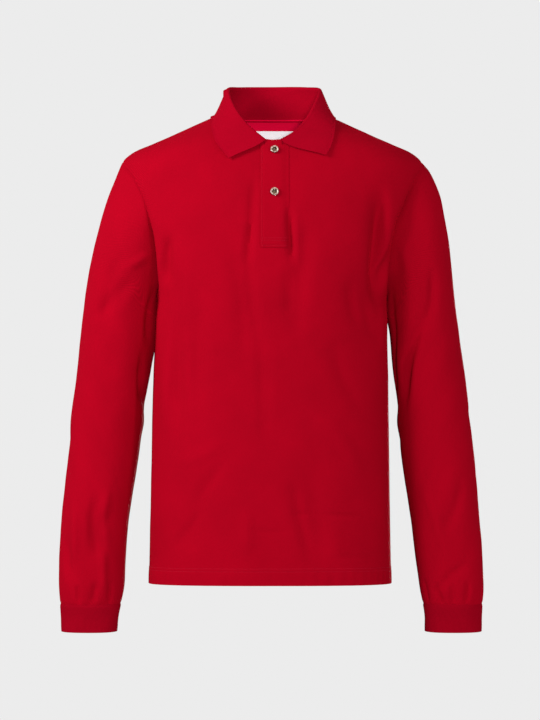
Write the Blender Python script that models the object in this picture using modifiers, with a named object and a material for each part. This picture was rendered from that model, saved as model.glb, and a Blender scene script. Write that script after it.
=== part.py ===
"""A long-sleeved knitted polo shirt, filled out as if worn, with nobody in it.

Run it with: blender --background --python part.py
Metres, +Z up. The front faces -Y, and +X is the side on the right when the shirt is seen from the front,
which is the wearer's left. The origin is the middle of the neck, at the height of the shoulder's highest
point, where the wearer holds the shirt up.

The body is one smooth form: at each height a rounded oblong with its own width, front and back. The front
and back panels are patches of that form between the hem, the side seams, the armholes, the shoulder seams
and the neckline. Each sleeve runs from its armhole to rings that narrow down to the cuff. The collar is one
strip that stands on the neckline, folds over and falls outwards.
"""

import math
from collections import namedtuple

import bmesh
import bpy
import numpy as np
from mathutils import Matrix, Vector

# --- Driving sizes ---------------------------------------------------------------------------------------
CLOTH = 0.0012  # wall of the pique knit
RIB = 0.0016  # wall of the rib knit of the collar and cuffs
SEAM = 0.0005  # gap left between two pieces that are sewn together
LAY = 0.0011  # gap between a panel and what lies on it

HEM = -0.677  # height of the hem at the side seams
HEM_RISE = 0.006  # how much higher the hem is at the middle of the front and back
UNDERARM = -0.258
SHOULDER_TIP = -0.064
NECK_POINT = 0.001  # where the shoulder seam meets the collar
NECK_HALF_WIDTH = 0.080
FRONT_NECK = -0.0480
BACK_NECK = 0.0025
ARMHOLE_FRONT = {1: 0.054, -1: 0.068}  # how far each armhole curves forward, by the sign of X
ARMHOLE_BACK = {1: 0.057, -1: 0.057}
COLUMN_SHARE_OF_NECK = 0.40  # share of a panel's columns that end at the neckline, not the shoulder

PLACKET_MIDDLE = 0.0035
PLACKET_WIDTH = 0.0400
PLACKET_TOP = -0.0410
TONGUE_LEFT = -0.0073  # the placket rises to its top between the collar's ends
TONGUE_RIGHT = 0.0107
TONGUE_SLANT = 0.0004  # how far each side of that rise leans
UNDER_MARGIN = 0.0020  # how much narrower the under strip is on each side
UNDER_SPREAD = 0.0030  # how far its rise reaches behind each end of the collar
UNDER_DROP = 0.0010
PLACKET_BOTTOM = -0.1965
SLIT_HALF_WIDTH = 0.013  # the slit in the front panel that the placket closes
CUTTER_DEPTH = 0.2
BUTTON_HEIGHTS = (-0.0565, -0.1170)
BUTTON_RADIUS = 0.0060
BUTTON_THICKNESS = 0.0024
BUTTON_EDGE = 0.0005
BUTTON_DISH_RADIUS = 0.0038
BUTTON_DISH_DEPTH = 0.0007
BUTTON_HOLE_RADIUS = 0.0006
BUTTON_HOLE_OFFSET = 0.0013

CUFF_TOP = -0.7045
CUFF_BOTTOM = -0.7445
SLEEVE_RING = -0.300  # below this height the sleeve's rings are level
SLEEVE_SQUARENESS = 2.3

COLLAR_FOLD_RADIUS = 0.0022
COLLAR_END_RADIUS = 0.0014  # the fold is tighter at the collar's front ends
COLLAR_END_SHARE = 0.25
COLLAR_LIFT = 0.0018  # from the panels' neckline up to the start of the collar
COLLAR_CLEARANCE = 0.0024  # least distance from the body form to the middle of the collar's leaf
COLLAR_END_CLEARANCE = 0.0048  # and at its front ends, which lie on the placket
TAPE_WIDTH = 0.0150
TAPE_WALL = 0.0010
TAPE_REACH = 66  # degrees round the neckline, each way from the middle of the back
LABEL_WIDTH = 0.066
LABEL_DROP = 0.034
LABEL_WALL = 0.0010
STRIP_DROP = 0.0022  # from the neckline down to the top of the placket strips
TAPE_RISE = 0.0014  # from the neckline up to the top of the neck tape

# The body form at several heights: the middle from side to side, half the width, the front and the back at
# the middle, where the side seam or shoulder ridge lies from front to back, and how square the section is
# (2 is an ellipse).
Section = namedtuple("Section", "height middle half_width front back ridge squareness")
BODY = (
    Section(-0.700, -0.0028, 0.1755, -0.106, 0.103, 0.000, 2.5),
    Section(-0.513, -0.0024, 0.1720, -0.107, 0.099, 0.000, 2.5),
    Section(-0.374, -0.0018, 0.1695, -0.110, 0.099, 0.000, 2.5),
    Section(-0.300, -0.0008, 0.1672, -0.113, 0.103, 0.001, 2.5),
    Section(-0.258, 0.0000, 0.1675, -0.115, 0.106, 0.002, 2.5),
    Section(-0.235, 0.0000, 0.1760, -0.114, 0.108, 0.003, 2.5),
    Section(-0.210, 0.0000, 0.1860, -0.112, 0.109, 0.003, 2.5),
    Section(-0.175, 0.0000, 0.2010, -0.108, 0.110, 0.004, 2.4),
    Section(-0.130, 0.0000, 0.2150, -0.099, 0.109, 0.005, 2.3),
    Section(-0.095, 0.0000, 0.2200, -0.089, 0.105, 0.006, 2.3),
    Section(-0.064, 0.0000, 0.2150, -0.078, 0.097, 0.007, 2.3),
    Section(-0.052, 0.0000, 0.1990, -0.072, 0.093, 0.007, 2.3),
    Section(-0.041, 0.0000, 0.1735, -0.066, 0.088, 0.007, 2.3),
    Section(-0.023, 0.0000, 0.1325, -0.052, 0.078, 0.008, 2.3),
    Section(-0.006, 0.0000, 0.0960, -0.034, 0.067, 0.008, 2.3),
    Section(0.006, 0.0000, 0.0680, -0.020, 0.058, 0.008, 2.3),
)

# Each sleeve from its ring down to the cuff: the inner and outer edge seen from the front, the middle of
# the sleeve from front to back, and half its depth. Side 1 is the sleeve at +X.
Ring = namedtuple("Ring", "height inner outer middle half_depth")
SLEEVE_RINGS = {
    1: (
        Ring(-0.300, 0.1705, 0.2690, 0.003, 0.057),
        Ring(-0.374, 0.1770, 0.2795, 0.005, 0.055),
        Ring(-0.444, 0.1838, 0.2882, 0.005, 0.052),
        Ring(-0.513, 0.1912, 0.2948, 0.001, 0.048),
        Ring(-0.583, 0.2015, 0.3000, -0.007, 0.043),
        Ring(-0.640, 0.2080, 0.3038, -0.014, 0.037),
        Ring(-0.688, 0.2150, 0.3045, -0.020, 0.031),
        Ring(-0.704, 0.2180, 0.3030, -0.022, 0.027),
        Ring(-0.745, 0.2210, 0.3015, -0.025, 0.023),
    ),
    -1: (
        Ring(-0.300, 0.1705, 0.2755, 0.003, 0.057),
        Ring(-0.374, 0.1775, 0.2830, 0.005, 0.055),
        Ring(-0.444, 0.1880, 0.2925, 0.005, 0.052),
        Ring(-0.513, 0.1975, 0.2975, 0.001, 0.048),
        Ring(-0.583, 0.2080, 0.3045, -0.007, 0.043),
        Ring(-0.640, 0.2120, 0.3070, -0.014, 0.037),
        Ring(-0.688, 0.2150, 0.3065, -0.020, 0.031),
        Ring(-0.704, 0.2180, 0.3050, -0.022, 0.027),
        Ring(-0.745, 0.2240, 0.3030, -0.025, 0.023),
    ),
}
SLEEVE_SPREAD = {1: 1.0, -1: 0.72}  # how strongly each sleeve sets off outwards
SIDES = {"left": 1, "right": -1}  # the wearer's sides, and the sign of X there

# Where the sleeve sets off from the armhole, as a direction. Turn is degrees round the sleeve from its top
# or outer edge towards the front.
Start = namedtuple("Start", "turn outward forward down")
SLEEVE_STARTS = (
    Start(0, 0.50, 0.00, 0.87),
    Start(90, 0.72, 0.10, 0.68),
    Start(180, 0.10, 0.00, 0.99),
    Start(270, 0.72, -0.10, 0.68),
    Start(360, 0.50, 0.00, 0.87),
)

# Soft folds in the body. Around is degrees from the middle of the front towards +X, at the fold's upper
# and lower end; a trough has a negative depth.
Fold = namedtuple("Fold", "around upper around_low lower width depth")
BODY_FOLDS = (
    Fold(-66, -0.190, -78, -0.262, 0.010, -0.0060),
    Fold(-52, -0.230, -58, -0.480, 0.014, 0.0035),
    Fold(-42, -0.230, -46, -0.480, 0.014, -0.0035),
    Fold(-12, -0.170, -8, -0.370, 0.010, -0.0035),
    Fold(9, -0.150, 8, -0.340, 0.010, -0.0035),
    Fold(60, -0.125, 68, -0.262, 0.014, -0.0070),
    Fold(46, -0.250, 56, -0.330, 0.014, -0.0030),
    Fold(14, -0.480, 20, -0.670, 0.016, -0.0040),
    Fold(-24, -0.500, -40, -0.640, 0.016, -0.0035),
    Fold(150, -0.120, 116, -0.262, 0.016, -0.0050),
    Fold(-150, -0.120, -116, -0.262, 0.016, -0.0050),
    Fold(158, -0.330, 150, -0.640, 0.020, -0.0045),
    Fold(-168, -0.300, -160, -0.560, 0.020, -0.0045),
    Fold(-128, -0.380, -134, -0.670, 0.018, 0.0040),
    Fold(124, -0.400, 130, -0.670, 0.018, 0.0040),
)
BODY_RADIUS = 0.14  # turns degrees around the body into a distance along the cloth

FOLD_REACH = 0.36  # share of its length, each way from the middle, over which a fold is nearly full

# Soft folds in the sleeves, with turn in place of around.
SLEEVE_FOLDS = {
    1: (
        Fold(100, -0.285, 150, -0.430, 0.010, -0.0050),
        Fold(150, -0.320, 140, -0.440, 0.010, 0.0025),
        Fold(215, -0.340, 180, -0.450, 0.012, -0.0050),
        Fold(250, -0.420, 190, -0.480, 0.012, -0.0040),
        Fold(70, -0.640, 120, -0.690, 0.009, -0.0030),
    ),
    -1: (
        Fold(110, -0.225, 60, -0.300, 0.012, -0.0045),
        Fold(130, -0.350, 170, -0.430, 0.011, -0.0050),
        Fold(215, -0.340, 180, -0.450, 0.012, -0.0050),
        Fold(110, -0.560, 95, -0.650, 0.010, -0.0040),
        Fold(40, -0.600, 60, -0.680, 0.010, -0.0030),
    ),
}
SLEEVE_RADIUS = 0.050

# The collar's fold line and the outer edge of its leaf, from the front end at -X round the back to the
# front end at +X. Along runs from -1 to 1.
Point = namedtuple("Point", "along x y z")
COLLAR_FOLD = (
    Point(-1.000, -0.0083, -0.0698, -0.0420),
    Point(-0.870, -0.0250, -0.0600, -0.0280),
    Point(-0.810, -0.0333, -0.0540, -0.0200),
    Point(-0.740, -0.0418, -0.0460, -0.0090),
    Point(-0.620, -0.0531, -0.0310, 0.0090),
    Point(-0.475, -0.0618, -0.0080, 0.0320),
    Point(-0.380, -0.0647, 0.0110, 0.0410),
    Point(-0.220, -0.0467, 0.0410, 0.0470),
    Point(0.000, 0.0015, 0.0580, 0.0495),
    Point(0.220, 0.0496, 0.0410, 0.0470),
    Point(0.375, 0.0688, 0.0110, 0.0410),
    Point(0.450, 0.0676, -0.0050, 0.0335),
    Point(0.560, 0.0616, -0.0240, 0.0170),
    Point(0.670, 0.0538, -0.0385, 0.0000),
    Point(0.790, 0.0403, -0.0520, -0.0195),
    Point(0.860, 0.0311, -0.0590, -0.0285),
    Point(1.000, 0.0117, -0.0698, -0.0415),
)
COLLAR_EDGE = (
    Point(-1.000, -0.0613, -0.0825, -0.0690),
    Point(-0.870, -0.0745, -0.0740, -0.0520),
    Point(-0.810, -0.0800, -0.0670, -0.0440),
    Point(-0.740, -0.0845, -0.0540, -0.0320),
    Point(-0.620, -0.0880, -0.0340, -0.0160),
    Point(-0.475, -0.0880, 0.0040, -0.0030),
    Point(-0.380, -0.0850, 0.0260, -0.0060),
    Point(-0.220, -0.0640, 0.0600, -0.0060),
    Point(0.000, 0.0015, 0.0745, -0.0065),
    Point(0.220, 0.0670, 0.0600, -0.0060),
    Point(0.375, 0.0885, 0.0260, -0.0060),
    Point(0.450, 0.0912, 0.0060, -0.0032),
    Point(0.560, 0.0918, -0.0190, -0.0060),
    Point(0.670, 0.0905, -0.0410, -0.0190),
    Point(0.790, 0.0865, -0.0610, -0.0420),
    Point(0.860, 0.0830, -0.0710, -0.0520),
    Point(1.000, 0.0762, -0.0805, -0.0640),
)
COLLAR_NECK_SHARE = 0.42  # how far along the collar, from the back, it passes the shoulder seam

PROBE = 0.0005  # the short step from which a slope is read
CLEARING_STEPS = 8  # how often the collar's leaf is measured and pushed out again

# How finely each piece is divided.
PANEL_COLUMNS = 28
PANEL_ROWS_LOW = 13  # hem to underarm
PANEL_ROWS_HIGH = 12  # underarm to shoulder: half the sleeve's columns, so that their points meet
SLEEVE_COLUMNS = 24
SLEEVE_ROWS_CAP = 9
SLEEVE_ROWS_LOW = 16
CUFF_ROWS = 2
COLLAR_COLUMNS = 40
STAND_ROWS = 4
ROLL_ROWS = 4
LEAF_ROWS = 5
EDGE_COLUMNS = 3
TONGUE_COLUMNS = 5
PLACKET_ROWS = 12
TAPE_COLUMNS = 20
TAPE_ROWS = 3
LABEL_COLUMNS = 8
LABEL_ROWS = 4
BUTTON_SIDES = 20
HOLE_SIDES = 6

RED = (0.42, 0.003, 0.013, 1.0)
DARK_RED = (0.36, 0.003, 0.012, 1.0)
WHITE = (0.85, 0.85, 0.84, 1.0)
PEARL = (0.62, 0.52, 0.40, 1.0)

# --- Smooth curves and the body form ---------------------------------------------------------------------
def through(places, values, at):
    """The smooth curve through (places, values), read at `at`: cubic pieces that share their slopes."""
    order = np.argsort(places)
    places = np.asarray(places, float)[order]
    values = np.asarray(values, float)[order]
    slopes = np.gradient(values, places, axis=0)
    at = np.clip(at, places[0], places[-1])
    piece = np.clip(np.searchsorted(places, at, side="right") - 1, 0, len(places) - 2)
    span = places[piece + 1] - places[piece]
    t = (at - places[piece]) / span
    return (
        (1 + 2 * t) * (1 - t) ** 2 * values[piece]
        + t * (1 - t) ** 2 * span * slopes[piece]
        + t**2 * (3 - 2 * t) * values[piece + 1]
        - t**2 * (1 - t) * span * slopes[piece + 1]
    )


def hermite(start, end, set_off, arrive, t):
    """A cubic curve between two rows of points, with the steps by which it sets off and arrives."""
    return (
        (1 + 2 * t) * (1 - t) ** 2 * start
        + t * (1 - t) ** 2 * set_off
        + t**2 * (3 - 2 * t) * end
        - t**2 * (1 - t) * arrive
    )


def read(rows, column, at):
    """A table's named column at `at`, where the table's first column says where its rows stand."""
    return through([row[0] for row in rows], [getattr(row, column) for row in rows], at)


def fold_rise(folds, radius, around, height):
    """How far soft folds lift the cloth: bells across each fold's line, fading out at both of its ends."""
    rise = np.zeros(np.broadcast(around, height).shape)
    for fold in folds:
        along = (fold.upper - height) / (fold.upper - fold.lower)
        line = fold.around + (fold.around_low - fold.around) * along
        across = np.radians((around - line + 180) % 360 - 180) * radius
        fade = np.exp(-(((along - 0.5) / FOLD_REACH) ** 4))
        rise += fold.depth * np.exp(-((across / fold.width) ** 2)) * fade
    return rise


def body_section(height):
    """The body form's sizes at a height, in the order of Section's columns."""
    return [read(BODY, column, height) for column in Section._fields[1:]]


def body_point(around, height):
    """The point of the body's cloth, folds included. Around is degrees from the middle of the front to +X."""
    around, height = np.broadcast_arrays(np.asarray(around, float), np.asarray(height, float))
    middle, half_width, front, back, ridge, squareness = body_section(height)
    across, ahead = np.sin(np.radians(around)), np.cos(np.radians(around))
    depth = np.where(ahead > 0, ridge - front, back - ridge)
    x = middle + half_width * np.sign(across) * np.abs(across) ** (2 / squareness)
    y = ridge - depth * np.sign(ahead) * np.abs(ahead) ** (2 / squareness)
    rise = fold_rise(BODY_FOLDS, BODY_RADIUS, around, height)
    return np.stack([x + rise * across, y - rise * ahead, height], -1)


def outside(points):
    """How far points lie outside the body form, as a share of its width: 0 on it, above 0 outside."""
    middle, half_width, front, back, ridge, squareness = body_section(points[..., 2])
    depth = np.where(points[..., 1] < ridge, ridge - front, back - ridge)
    across = np.abs((points[..., 0] - middle) / half_width) ** squareness
    ahead = np.abs((points[..., 1] - ridge) / depth) ** squareness
    return (across + ahead) ** (1 / squareness) - 1


def body_slope(points):
    """The way in which `outside` grows fastest, and how fast, from a short step along each axis."""
    return np.stack([(outside(points + PROBE * axis) - outside(points)) / PROBE for axis in np.eye(3)], -1)


def around_at(x, height, facing):
    """Where on the form, in degrees, a point of the front (facing 1) or the back (-1) lies at this x."""
    middle, half_width, _, _, _, squareness = body_section(height)
    share = np.clip((x - middle) / half_width, -1, 1)
    turn = np.degrees(np.arcsin(np.abs(share) ** (squareness / 2)))
    return np.where(share < 0, -1, 1) * np.where(np.asarray(facing) > 0, turn, 180 - turn)


def panel_point(x, height, facing):
    """The point of the front or back panel at this x: each panel stands half a seam clear of the ridge."""
    point = body_point(around_at(x, height, facing), height)
    point[..., 1] -= facing * SEAM / 2
    return point


def panel_normal(x, height, facing):
    """The panel's outward direction there, from two short steps along it."""
    right = panel_point(x + PROBE, height, facing) - panel_point(x - PROBE, height, facing)
    up = panel_point(x, height + PROBE, facing) - panel_point(x, height - PROBE, facing)
    normal = facing * np.cross(right, up)
    return normal / np.linalg.norm(normal, axis=-1, keepdims=True)


def on_panel(x, height, facing, out):
    """A point that lies `out` metres off the panel's middle surface; inwards if `out` is negative."""
    return panel_point(x, height, facing) + out * panel_normal(x, height, facing)


def armhole(turn, side):
    """(x, height, facing) round the armhole: an upright oval seen from the side. Turn 0 is its top."""
    height = UNDERARM + (SHOULDER_TIP - UNDERARM) * (1 + np.cos(np.radians(turn))) / 2
    forward = np.sin(np.radians(turn))
    reach = np.where(forward > 0, ARMHOLE_FRONT[side], ARMHOLE_BACK[side]) * np.abs(forward)
    middle, half_width, front, back, ridge, squareness = body_section(height)
    depth = np.where(forward > 0, ridge - front, back - ridge)
    x = side * middle + half_width * (1 - (reach / depth) ** squareness) ** (1 / squareness)
    return side * x, height, np.where(forward > 0, 1, -1)


def armhole_point(turn, side):
    """The point of the armhole's edge at this turn."""
    return panel_point(*armhole(turn, side))


def across_armhole(turn, side):
    """The way in which a panel's cloth would run on over the armhole's edge."""
    edge = armhole_point(turn, side)
    run = armhole_point(turn + 1, side) - armhole_point(turn - 1, side)
    across = np.cross(run, body_slope(edge))
    across /= np.linalg.norm(across, axis=-1, keepdims=True)
    inwards = armhole_point(np.array([0, 90, 180, 270]), side).mean(axis=0) - edge
    return across * np.sign(np.sum(across * inwards, axis=-1, keepdims=True))


def neckline(turn):
    """(x, height) of the neckline. Turn is degrees from the middle of the front to +X."""
    low = np.where(np.cos(np.radians(turn)) > 0, FRONT_NECK, BACK_NECK)
    drop = (low - NECK_POINT) * np.abs(np.cos(np.radians(turn)))
    return NECK_HALF_WIDTH * np.sin(np.radians(turn)), NECK_POINT + drop


# --- Grids of points -------------------------------------------------------------------------------------
def top_edge(share, facing):
    """(|x|, height) of a panel's top edge: along the neckline, then out along the shoulder seam."""
    quarter = 90 * np.minimum(share / COLUMN_SHARE_OF_NECK, 1)
    neck_x, neck_height = neckline(quarter if facing == 1 else 180 - quarter)
    heights = np.linspace(NECK_POINT, SHOULDER_TIP, 200)
    widths = read(BODY, "half_width", heights)
    out = np.clip((share - COLUMN_SHARE_OF_NECK) / (1 - COLUMN_SHARE_OF_NECK), 0, 1)
    shoulder_x = widths[0] + (widths[-1] - widths[0]) * out
    shoulder_height = np.interp(shoulder_x, widths, heights)
    on_neck = share < COLUMN_SHARE_OF_NECK
    return np.where(on_neck, neck_x, shoulder_x), np.where(on_neck, neck_height, shoulder_height)


def panel_grid(facing):
    """A front or back panel: rows from the hem up to the neckline and shoulders, columns towards +X."""
    shares = np.linspace(-1, 1, PANEL_COLUMNS + 1)
    side, share = np.where(shares < 0, -1, 1), np.abs(shares)
    around = 90 * shares if facing == 1 else side * (180 - 90 * share)
    hem = HEM + HEM_RISE * np.cos(np.radians(90 * shares))
    rows = []
    for climb in np.linspace(0, 1, PANEL_ROWS_LOW + 1):
        point = body_point(around, hem + (UNDERARM - hem) * climb)
        point[:, 1] -= facing * SEAM / 2
        rows.append(point)

    top_x, top_height = top_edge(share, facing)
    low_share = np.abs(np.sin(np.radians(90 * share))) ** (2 / read(BODY, "squareness", UNDERARM))
    for turn in np.linspace(180, 0, PANEL_ROWS_HIGH + 1)[1:]:
        climb = (1 + math.cos(math.radians(turn))) / 2
        edge = {sign: armhole(facing * turn, sign)[0] for sign in (1, -1)}
        edge_x = np.where(side > 0, edge[1], -edge[-1])
        top_share = top_x / top_x[-1]
        x = side * edge_x * (low_share + (top_share - low_share) * climb)
        rows.append(panel_point(x, UNDERARM + (top_height - UNDERARM) * climb, facing))
    return np.array(rows)


def sleeve_ring(side, height, turn):
    """The level ring of a sleeve: turn is degrees from its outer edge towards the front."""
    inner, outer, middle, half_depth = (
        read(SLEEVE_RINGS[side], column, height) for column in Ring._fields[1:]
    )
    rise = fold_rise(SLEEVE_FOLDS[side], SLEEVE_RADIUS, turn, height)
    out, ahead = np.cos(np.radians(turn)), np.sin(np.radians(turn))
    power = 2 / SLEEVE_SQUARENESS
    x = (inner + outer) / 2 + (outer - inner) / 2 * np.sign(out) * np.abs(out) ** power + rise * out
    y = middle - half_depth * np.sign(ahead) * np.abs(ahead) ** power - rise * ahead
    return np.stack(np.broadcast_arrays(side * x, y, height), -1)


def sleeve_grid(side):
    """A sleeve from its armhole to its cuff: each column runs down one line of the sleeve, as one curve."""
    turn = np.linspace(0, 360, SLEEVE_COLUMNS, endpoint=False)
    direction = np.stack(
        [
            side * SLEEVE_SPREAD[side] * read(SLEEVE_STARTS, "outward", turn),
            -read(SLEEVE_STARTS, "forward", turn),
            -read(SLEEVE_STARTS, "down", turn),
        ],
        -1,
    )
    direction /= np.linalg.norm(direction, axis=-1, keepdims=True)
    across = across_armhole(turn, side)
    turned = np.sum(across * direction, axis=-1, keepdims=True)
    start = armhole_point(turn, side) + across * (SEAM + CLOTH / 2 * np.sqrt(1 - turned**2))
    start[:, 0] += side * np.maximum(-turned[:, 0], 0) * (SEAM + CLOTH)
    end = sleeve_ring(side, SLEEVE_RING, turn)
    reach = np.linalg.norm(end - start, axis=-1, keepdims=True)
    fall = sleeve_ring(side, SLEEVE_RING - PROBE, turn) - end
    fall /= np.linalg.norm(fall, axis=-1, keepdims=True)
    rows = []
    for t in np.linspace(0, 1, SLEEVE_ROWS_CAP + 1)[:-1]:
        point = hermite(start, end, reach * direction, reach * fall, t)
        rise = fold_rise(SLEEVE_FOLDS[side], SLEEVE_RADIUS, turn, point[:, 2])
        out, ahead = np.cos(np.radians(turn)), np.sin(np.radians(turn))
        rise = (rise * t)[:, None]
        rows.append(point + rise * np.stack([side * out, -ahead, 0 * out], -1))
    for height in np.linspace(SLEEVE_RING, CUFF_TOP + SEAM, SLEEVE_ROWS_LOW + 1):
        rows.append(sleeve_ring(side, height, turn))
    return np.array(rows)


def cuff_grid(side):
    """A cuff: the sleeve's lowest rings, without its folds."""
    turn = np.linspace(0, 360, SLEEVE_COLUMNS, endpoint=False)
    heights = np.linspace(CUFF_TOP - SEAM, CUFF_BOTTOM, CUFF_ROWS + 1)
    return np.array([sleeve_ring(side, height, turn) for height in heights])


def clear_of_body(points, clearance):
    """The points, pushed straight out of the body form until each is at least this far from it."""
    for _ in range(CLEARING_STEPS):
        value, slope = outside(points), body_slope(points)
        steepness = np.linalg.norm(slope, axis=-1)
        short = np.maximum(clearance - value / steepness, 0)
        points = points + slope * (short / steepness)[..., None]
    return points


def collar_grid():
    """The collar: up the stand from the neckline, over the fold, and down the leaf to its outer edge."""
    along = np.linspace(-1, 1, COLLAR_COLUMNS + 1)
    fold, edge = (
        np.stack([read(guide, axis, along) for axis in "xyz"], -1) for guide in (COLLAR_FOLD, COLLAR_EDGE)
    )
    ends = {-1: neck_turn(COLLAR_FOLD[0].x), 1: neck_turn(COLLAR_FOLD[-1].x)}
    turn = np.where(
        along < 0,
        -through((0, COLLAR_NECK_SHARE, 1), (180, 90, ends[-1]), np.abs(along)),
        through((0, COLLAR_NECK_SHARE, 1), (180, 90, ends[1]), np.abs(along)),
    )
    neck_x, neck_height = neckline(turn)
    neck = panel_point(neck_x, neck_height, np.where(np.abs(turn) < 90, 1, -1))
    neck[:, 2] += COLLAR_LIFT

    line = np.gradient(fold, along, axis=0)
    line /= np.linalg.norm(line, axis=-1, keepdims=True)
    fall = edge - fold
    fall -= np.sum(fall * line, axis=-1, keepdims=True) * line
    fall /= np.linalg.norm(fall, axis=-1, keepdims=True)
    out = np.cross(line, fall)
    ease = np.minimum((1 - np.abs(along)) / COLLAR_END_SHARE, 1)[:, None]
    radius = COLLAR_END_RADIUS + (COLLAR_FOLD_RADIUS - COLLAR_END_RADIUS) * ease
    clearance = (COLLAR_END_CLEARANCE + (COLLAR_CLEARANCE - COLLAR_END_CLEARANCE) * ease)[:, 0]
    middle = fold + radius * fall
    inside, outside = middle - radius * out, middle + radius * out

    stand_reach = np.linalg.norm(inside - neck, axis=-1, keepdims=True)
    leaf_reach = np.linalg.norm(edge - outside, axis=-1, keepdims=True)
    rows = [
        hermite(neck, inside, inside - neck, -fall * stand_reach, t)
        for t in np.linspace(0, 1, STAND_ROWS + 1)[:-1]
    ]
    for angle in np.linspace(-90, 90, ROLL_ROWS + 1):
        over = -fall * math.cos(math.radians(angle)) + out * math.sin(math.radians(angle))
        rows.append(middle + radius * over)
    for t in np.linspace(0, 1, LEAF_ROWS + 1)[1:]:
        leaf = hermite(outside, edge, fall * leaf_reach, edge - outside, t)
        rows.append(clear_of_body(leaf, clearance))
    return np.array(rows)


def neck_turn(x):
    """Degrees from the middle of the front at which the neckline is this far to the side."""
    return math.degrees(math.asin(abs(x) / NECK_HALF_WIDTH))


def placket_grid(out, margin, rise, spread):
    """A placket strip, `out` metres off the front panel and narrower by a margin on each side.

    It ends under the collar, at the neckline, but rises to the height `rise` between the collar's ends, and
    to `spread` on both sides of that gap.
    """
    half = PLACKET_WIDTH / 2 - margin
    left, right = TONGUE_LEFT - spread, TONGUE_RIGHT + spread
    x = np.concatenate([
        np.linspace(PLACKET_MIDDLE - half, left - TONGUE_SLANT, EDGE_COLUMNS),
        np.linspace(left, right, TONGUE_COLUMNS),
        np.linspace(right + TONGUE_SLANT, PLACKET_MIDDLE + half, EDGE_COLUMNS),
    ])
    top = neckline(np.degrees(np.arcsin(np.abs(x) / NECK_HALF_WIDTH)))[1] - STRIP_DROP
    top = np.where((x >= left) & (x <= right), rise, top)
    climb = np.linspace(0, 1, PLACKET_ROWS + 1)[:, None]
    bottom = PLACKET_BOTTOM + margin
    return on_panel(x + 0 * climb, bottom + (top - bottom) * climb, 1, out)


def tape_grid():
    """The tape inside the back neckline, from one shoulder seam to the other."""
    turn = np.linspace(180 - TAPE_REACH, 180 + TAPE_REACH, TAPE_COLUMNS + 1)
    x, top = neckline(turn)
    drop = np.linspace(TAPE_WIDTH, -TAPE_RISE, TAPE_ROWS + 1)[:, None]
    out = -(CLOTH / 2 + LAY + TAPE_WALL)
    return on_panel(x + 0 * drop, top - drop, -1, out)


def label_grid():
    """The plain label that hangs inside the back, below the tape."""
    x = np.linspace(-LABEL_WIDTH / 2, LABEL_WIDTH / 2, LABEL_COLUMNS + 1)
    top = BACK_NECK - TAPE_WIDTH - LAY
    height = np.linspace(top - LABEL_DROP, top, LABEL_ROWS + 1)[:, None]
    out = -(CLOTH / 2 + LAY + LABEL_WALL)
    return on_panel(x + 0 * height, height + 0 * x, -1, out)


# --- Objects ---------------------------------------------------------------------------------------------
def material(name, colour, roughness):
    """A plain material: the knit is matt, the buttons glossy."""
    made = bpy.data.materials.new(name)
    made.use_nodes = True
    shader = made.node_tree.nodes["Principled BSDF"]
    shader.inputs["Base Color"].default_value = colour
    shader.inputs["Roughness"].default_value = roughness
    return made


def new_object(name, mesh, surface, collection):
    mesh.materials.append(surface)
    thing = bpy.data.objects.new(name, mesh)
    collection.objects.link(thing)
    return thing


def cloth(name, grid, wall, surface, collection, tube=False):
    """Cloth through a grid of points, as an open surface with Solidify. A tube's columns meet all round."""
    rows, columns = grid.shape[:2]
    index = np.arange(rows * columns).reshape(rows, columns)
    if tube:
        index = np.hstack([index, index[:, :1]])
    corners = np.stack([index[:-1, :-1], index[:-1, 1:], index[1:, 1:], index[1:, :-1]], -1)
    mesh = bpy.data.meshes.new(name)
    mesh.from_pydata(grid.reshape(-1, 3).tolist(), [], corners.reshape(-1, 4).tolist())
    shape = bmesh.new()
    shape.from_mesh(mesh)
    bmesh.ops.triangulate(shape, faces=shape.faces, quad_method="SHORT_EDGE")
    shape.to_mesh(mesh)
    shape.free()
    mesh.shade_smooth()
    thing = new_object(name, mesh, surface, collection)
    wall_of = thing.modifiers.new("wall", "SOLIDIFY")
    wall_of.thickness = wall
    wall_of.offset = 0
    wall_of.use_quality_normals = True
    return thing


def cut(thing, cutter):
    """Cuts a solid out of a piece."""
    cutter.hide_render = True
    cutter.display_type = "WIRE"
    boolean = thing.modifiers.new(cutter.name, "BOOLEAN")
    boolean.operation = "DIFFERENCE"
    boolean.object = cutter


def slit_cutter(collection):
    """The box that opens the front panel behind the placket, through its neckline."""
    mesh = bpy.data.meshes.new("slit_cutter")
    shape = bmesh.new()
    bmesh.ops.create_cube(shape, size=1)
    bottom, top = PLACKET_BOTTOM + SLIT_HALF_WIDTH, 0
    bmesh.ops.scale(shape, vec=(2 * SLIT_HALF_WIDTH, CUTTER_DEPTH, top - bottom), verts=shape.verts)
    place = (PLACKET_MIDDLE, -CUTTER_DEPTH / 2, (top + bottom) / 2)
    bmesh.ops.translate(shape, vec=place, verts=shape.verts)
    shape.to_mesh(mesh)
    shape.free()
    cutter = bpy.data.objects.new("slit_cutter", mesh)
    collection.objects.link(cutter)
    return cutter


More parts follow.
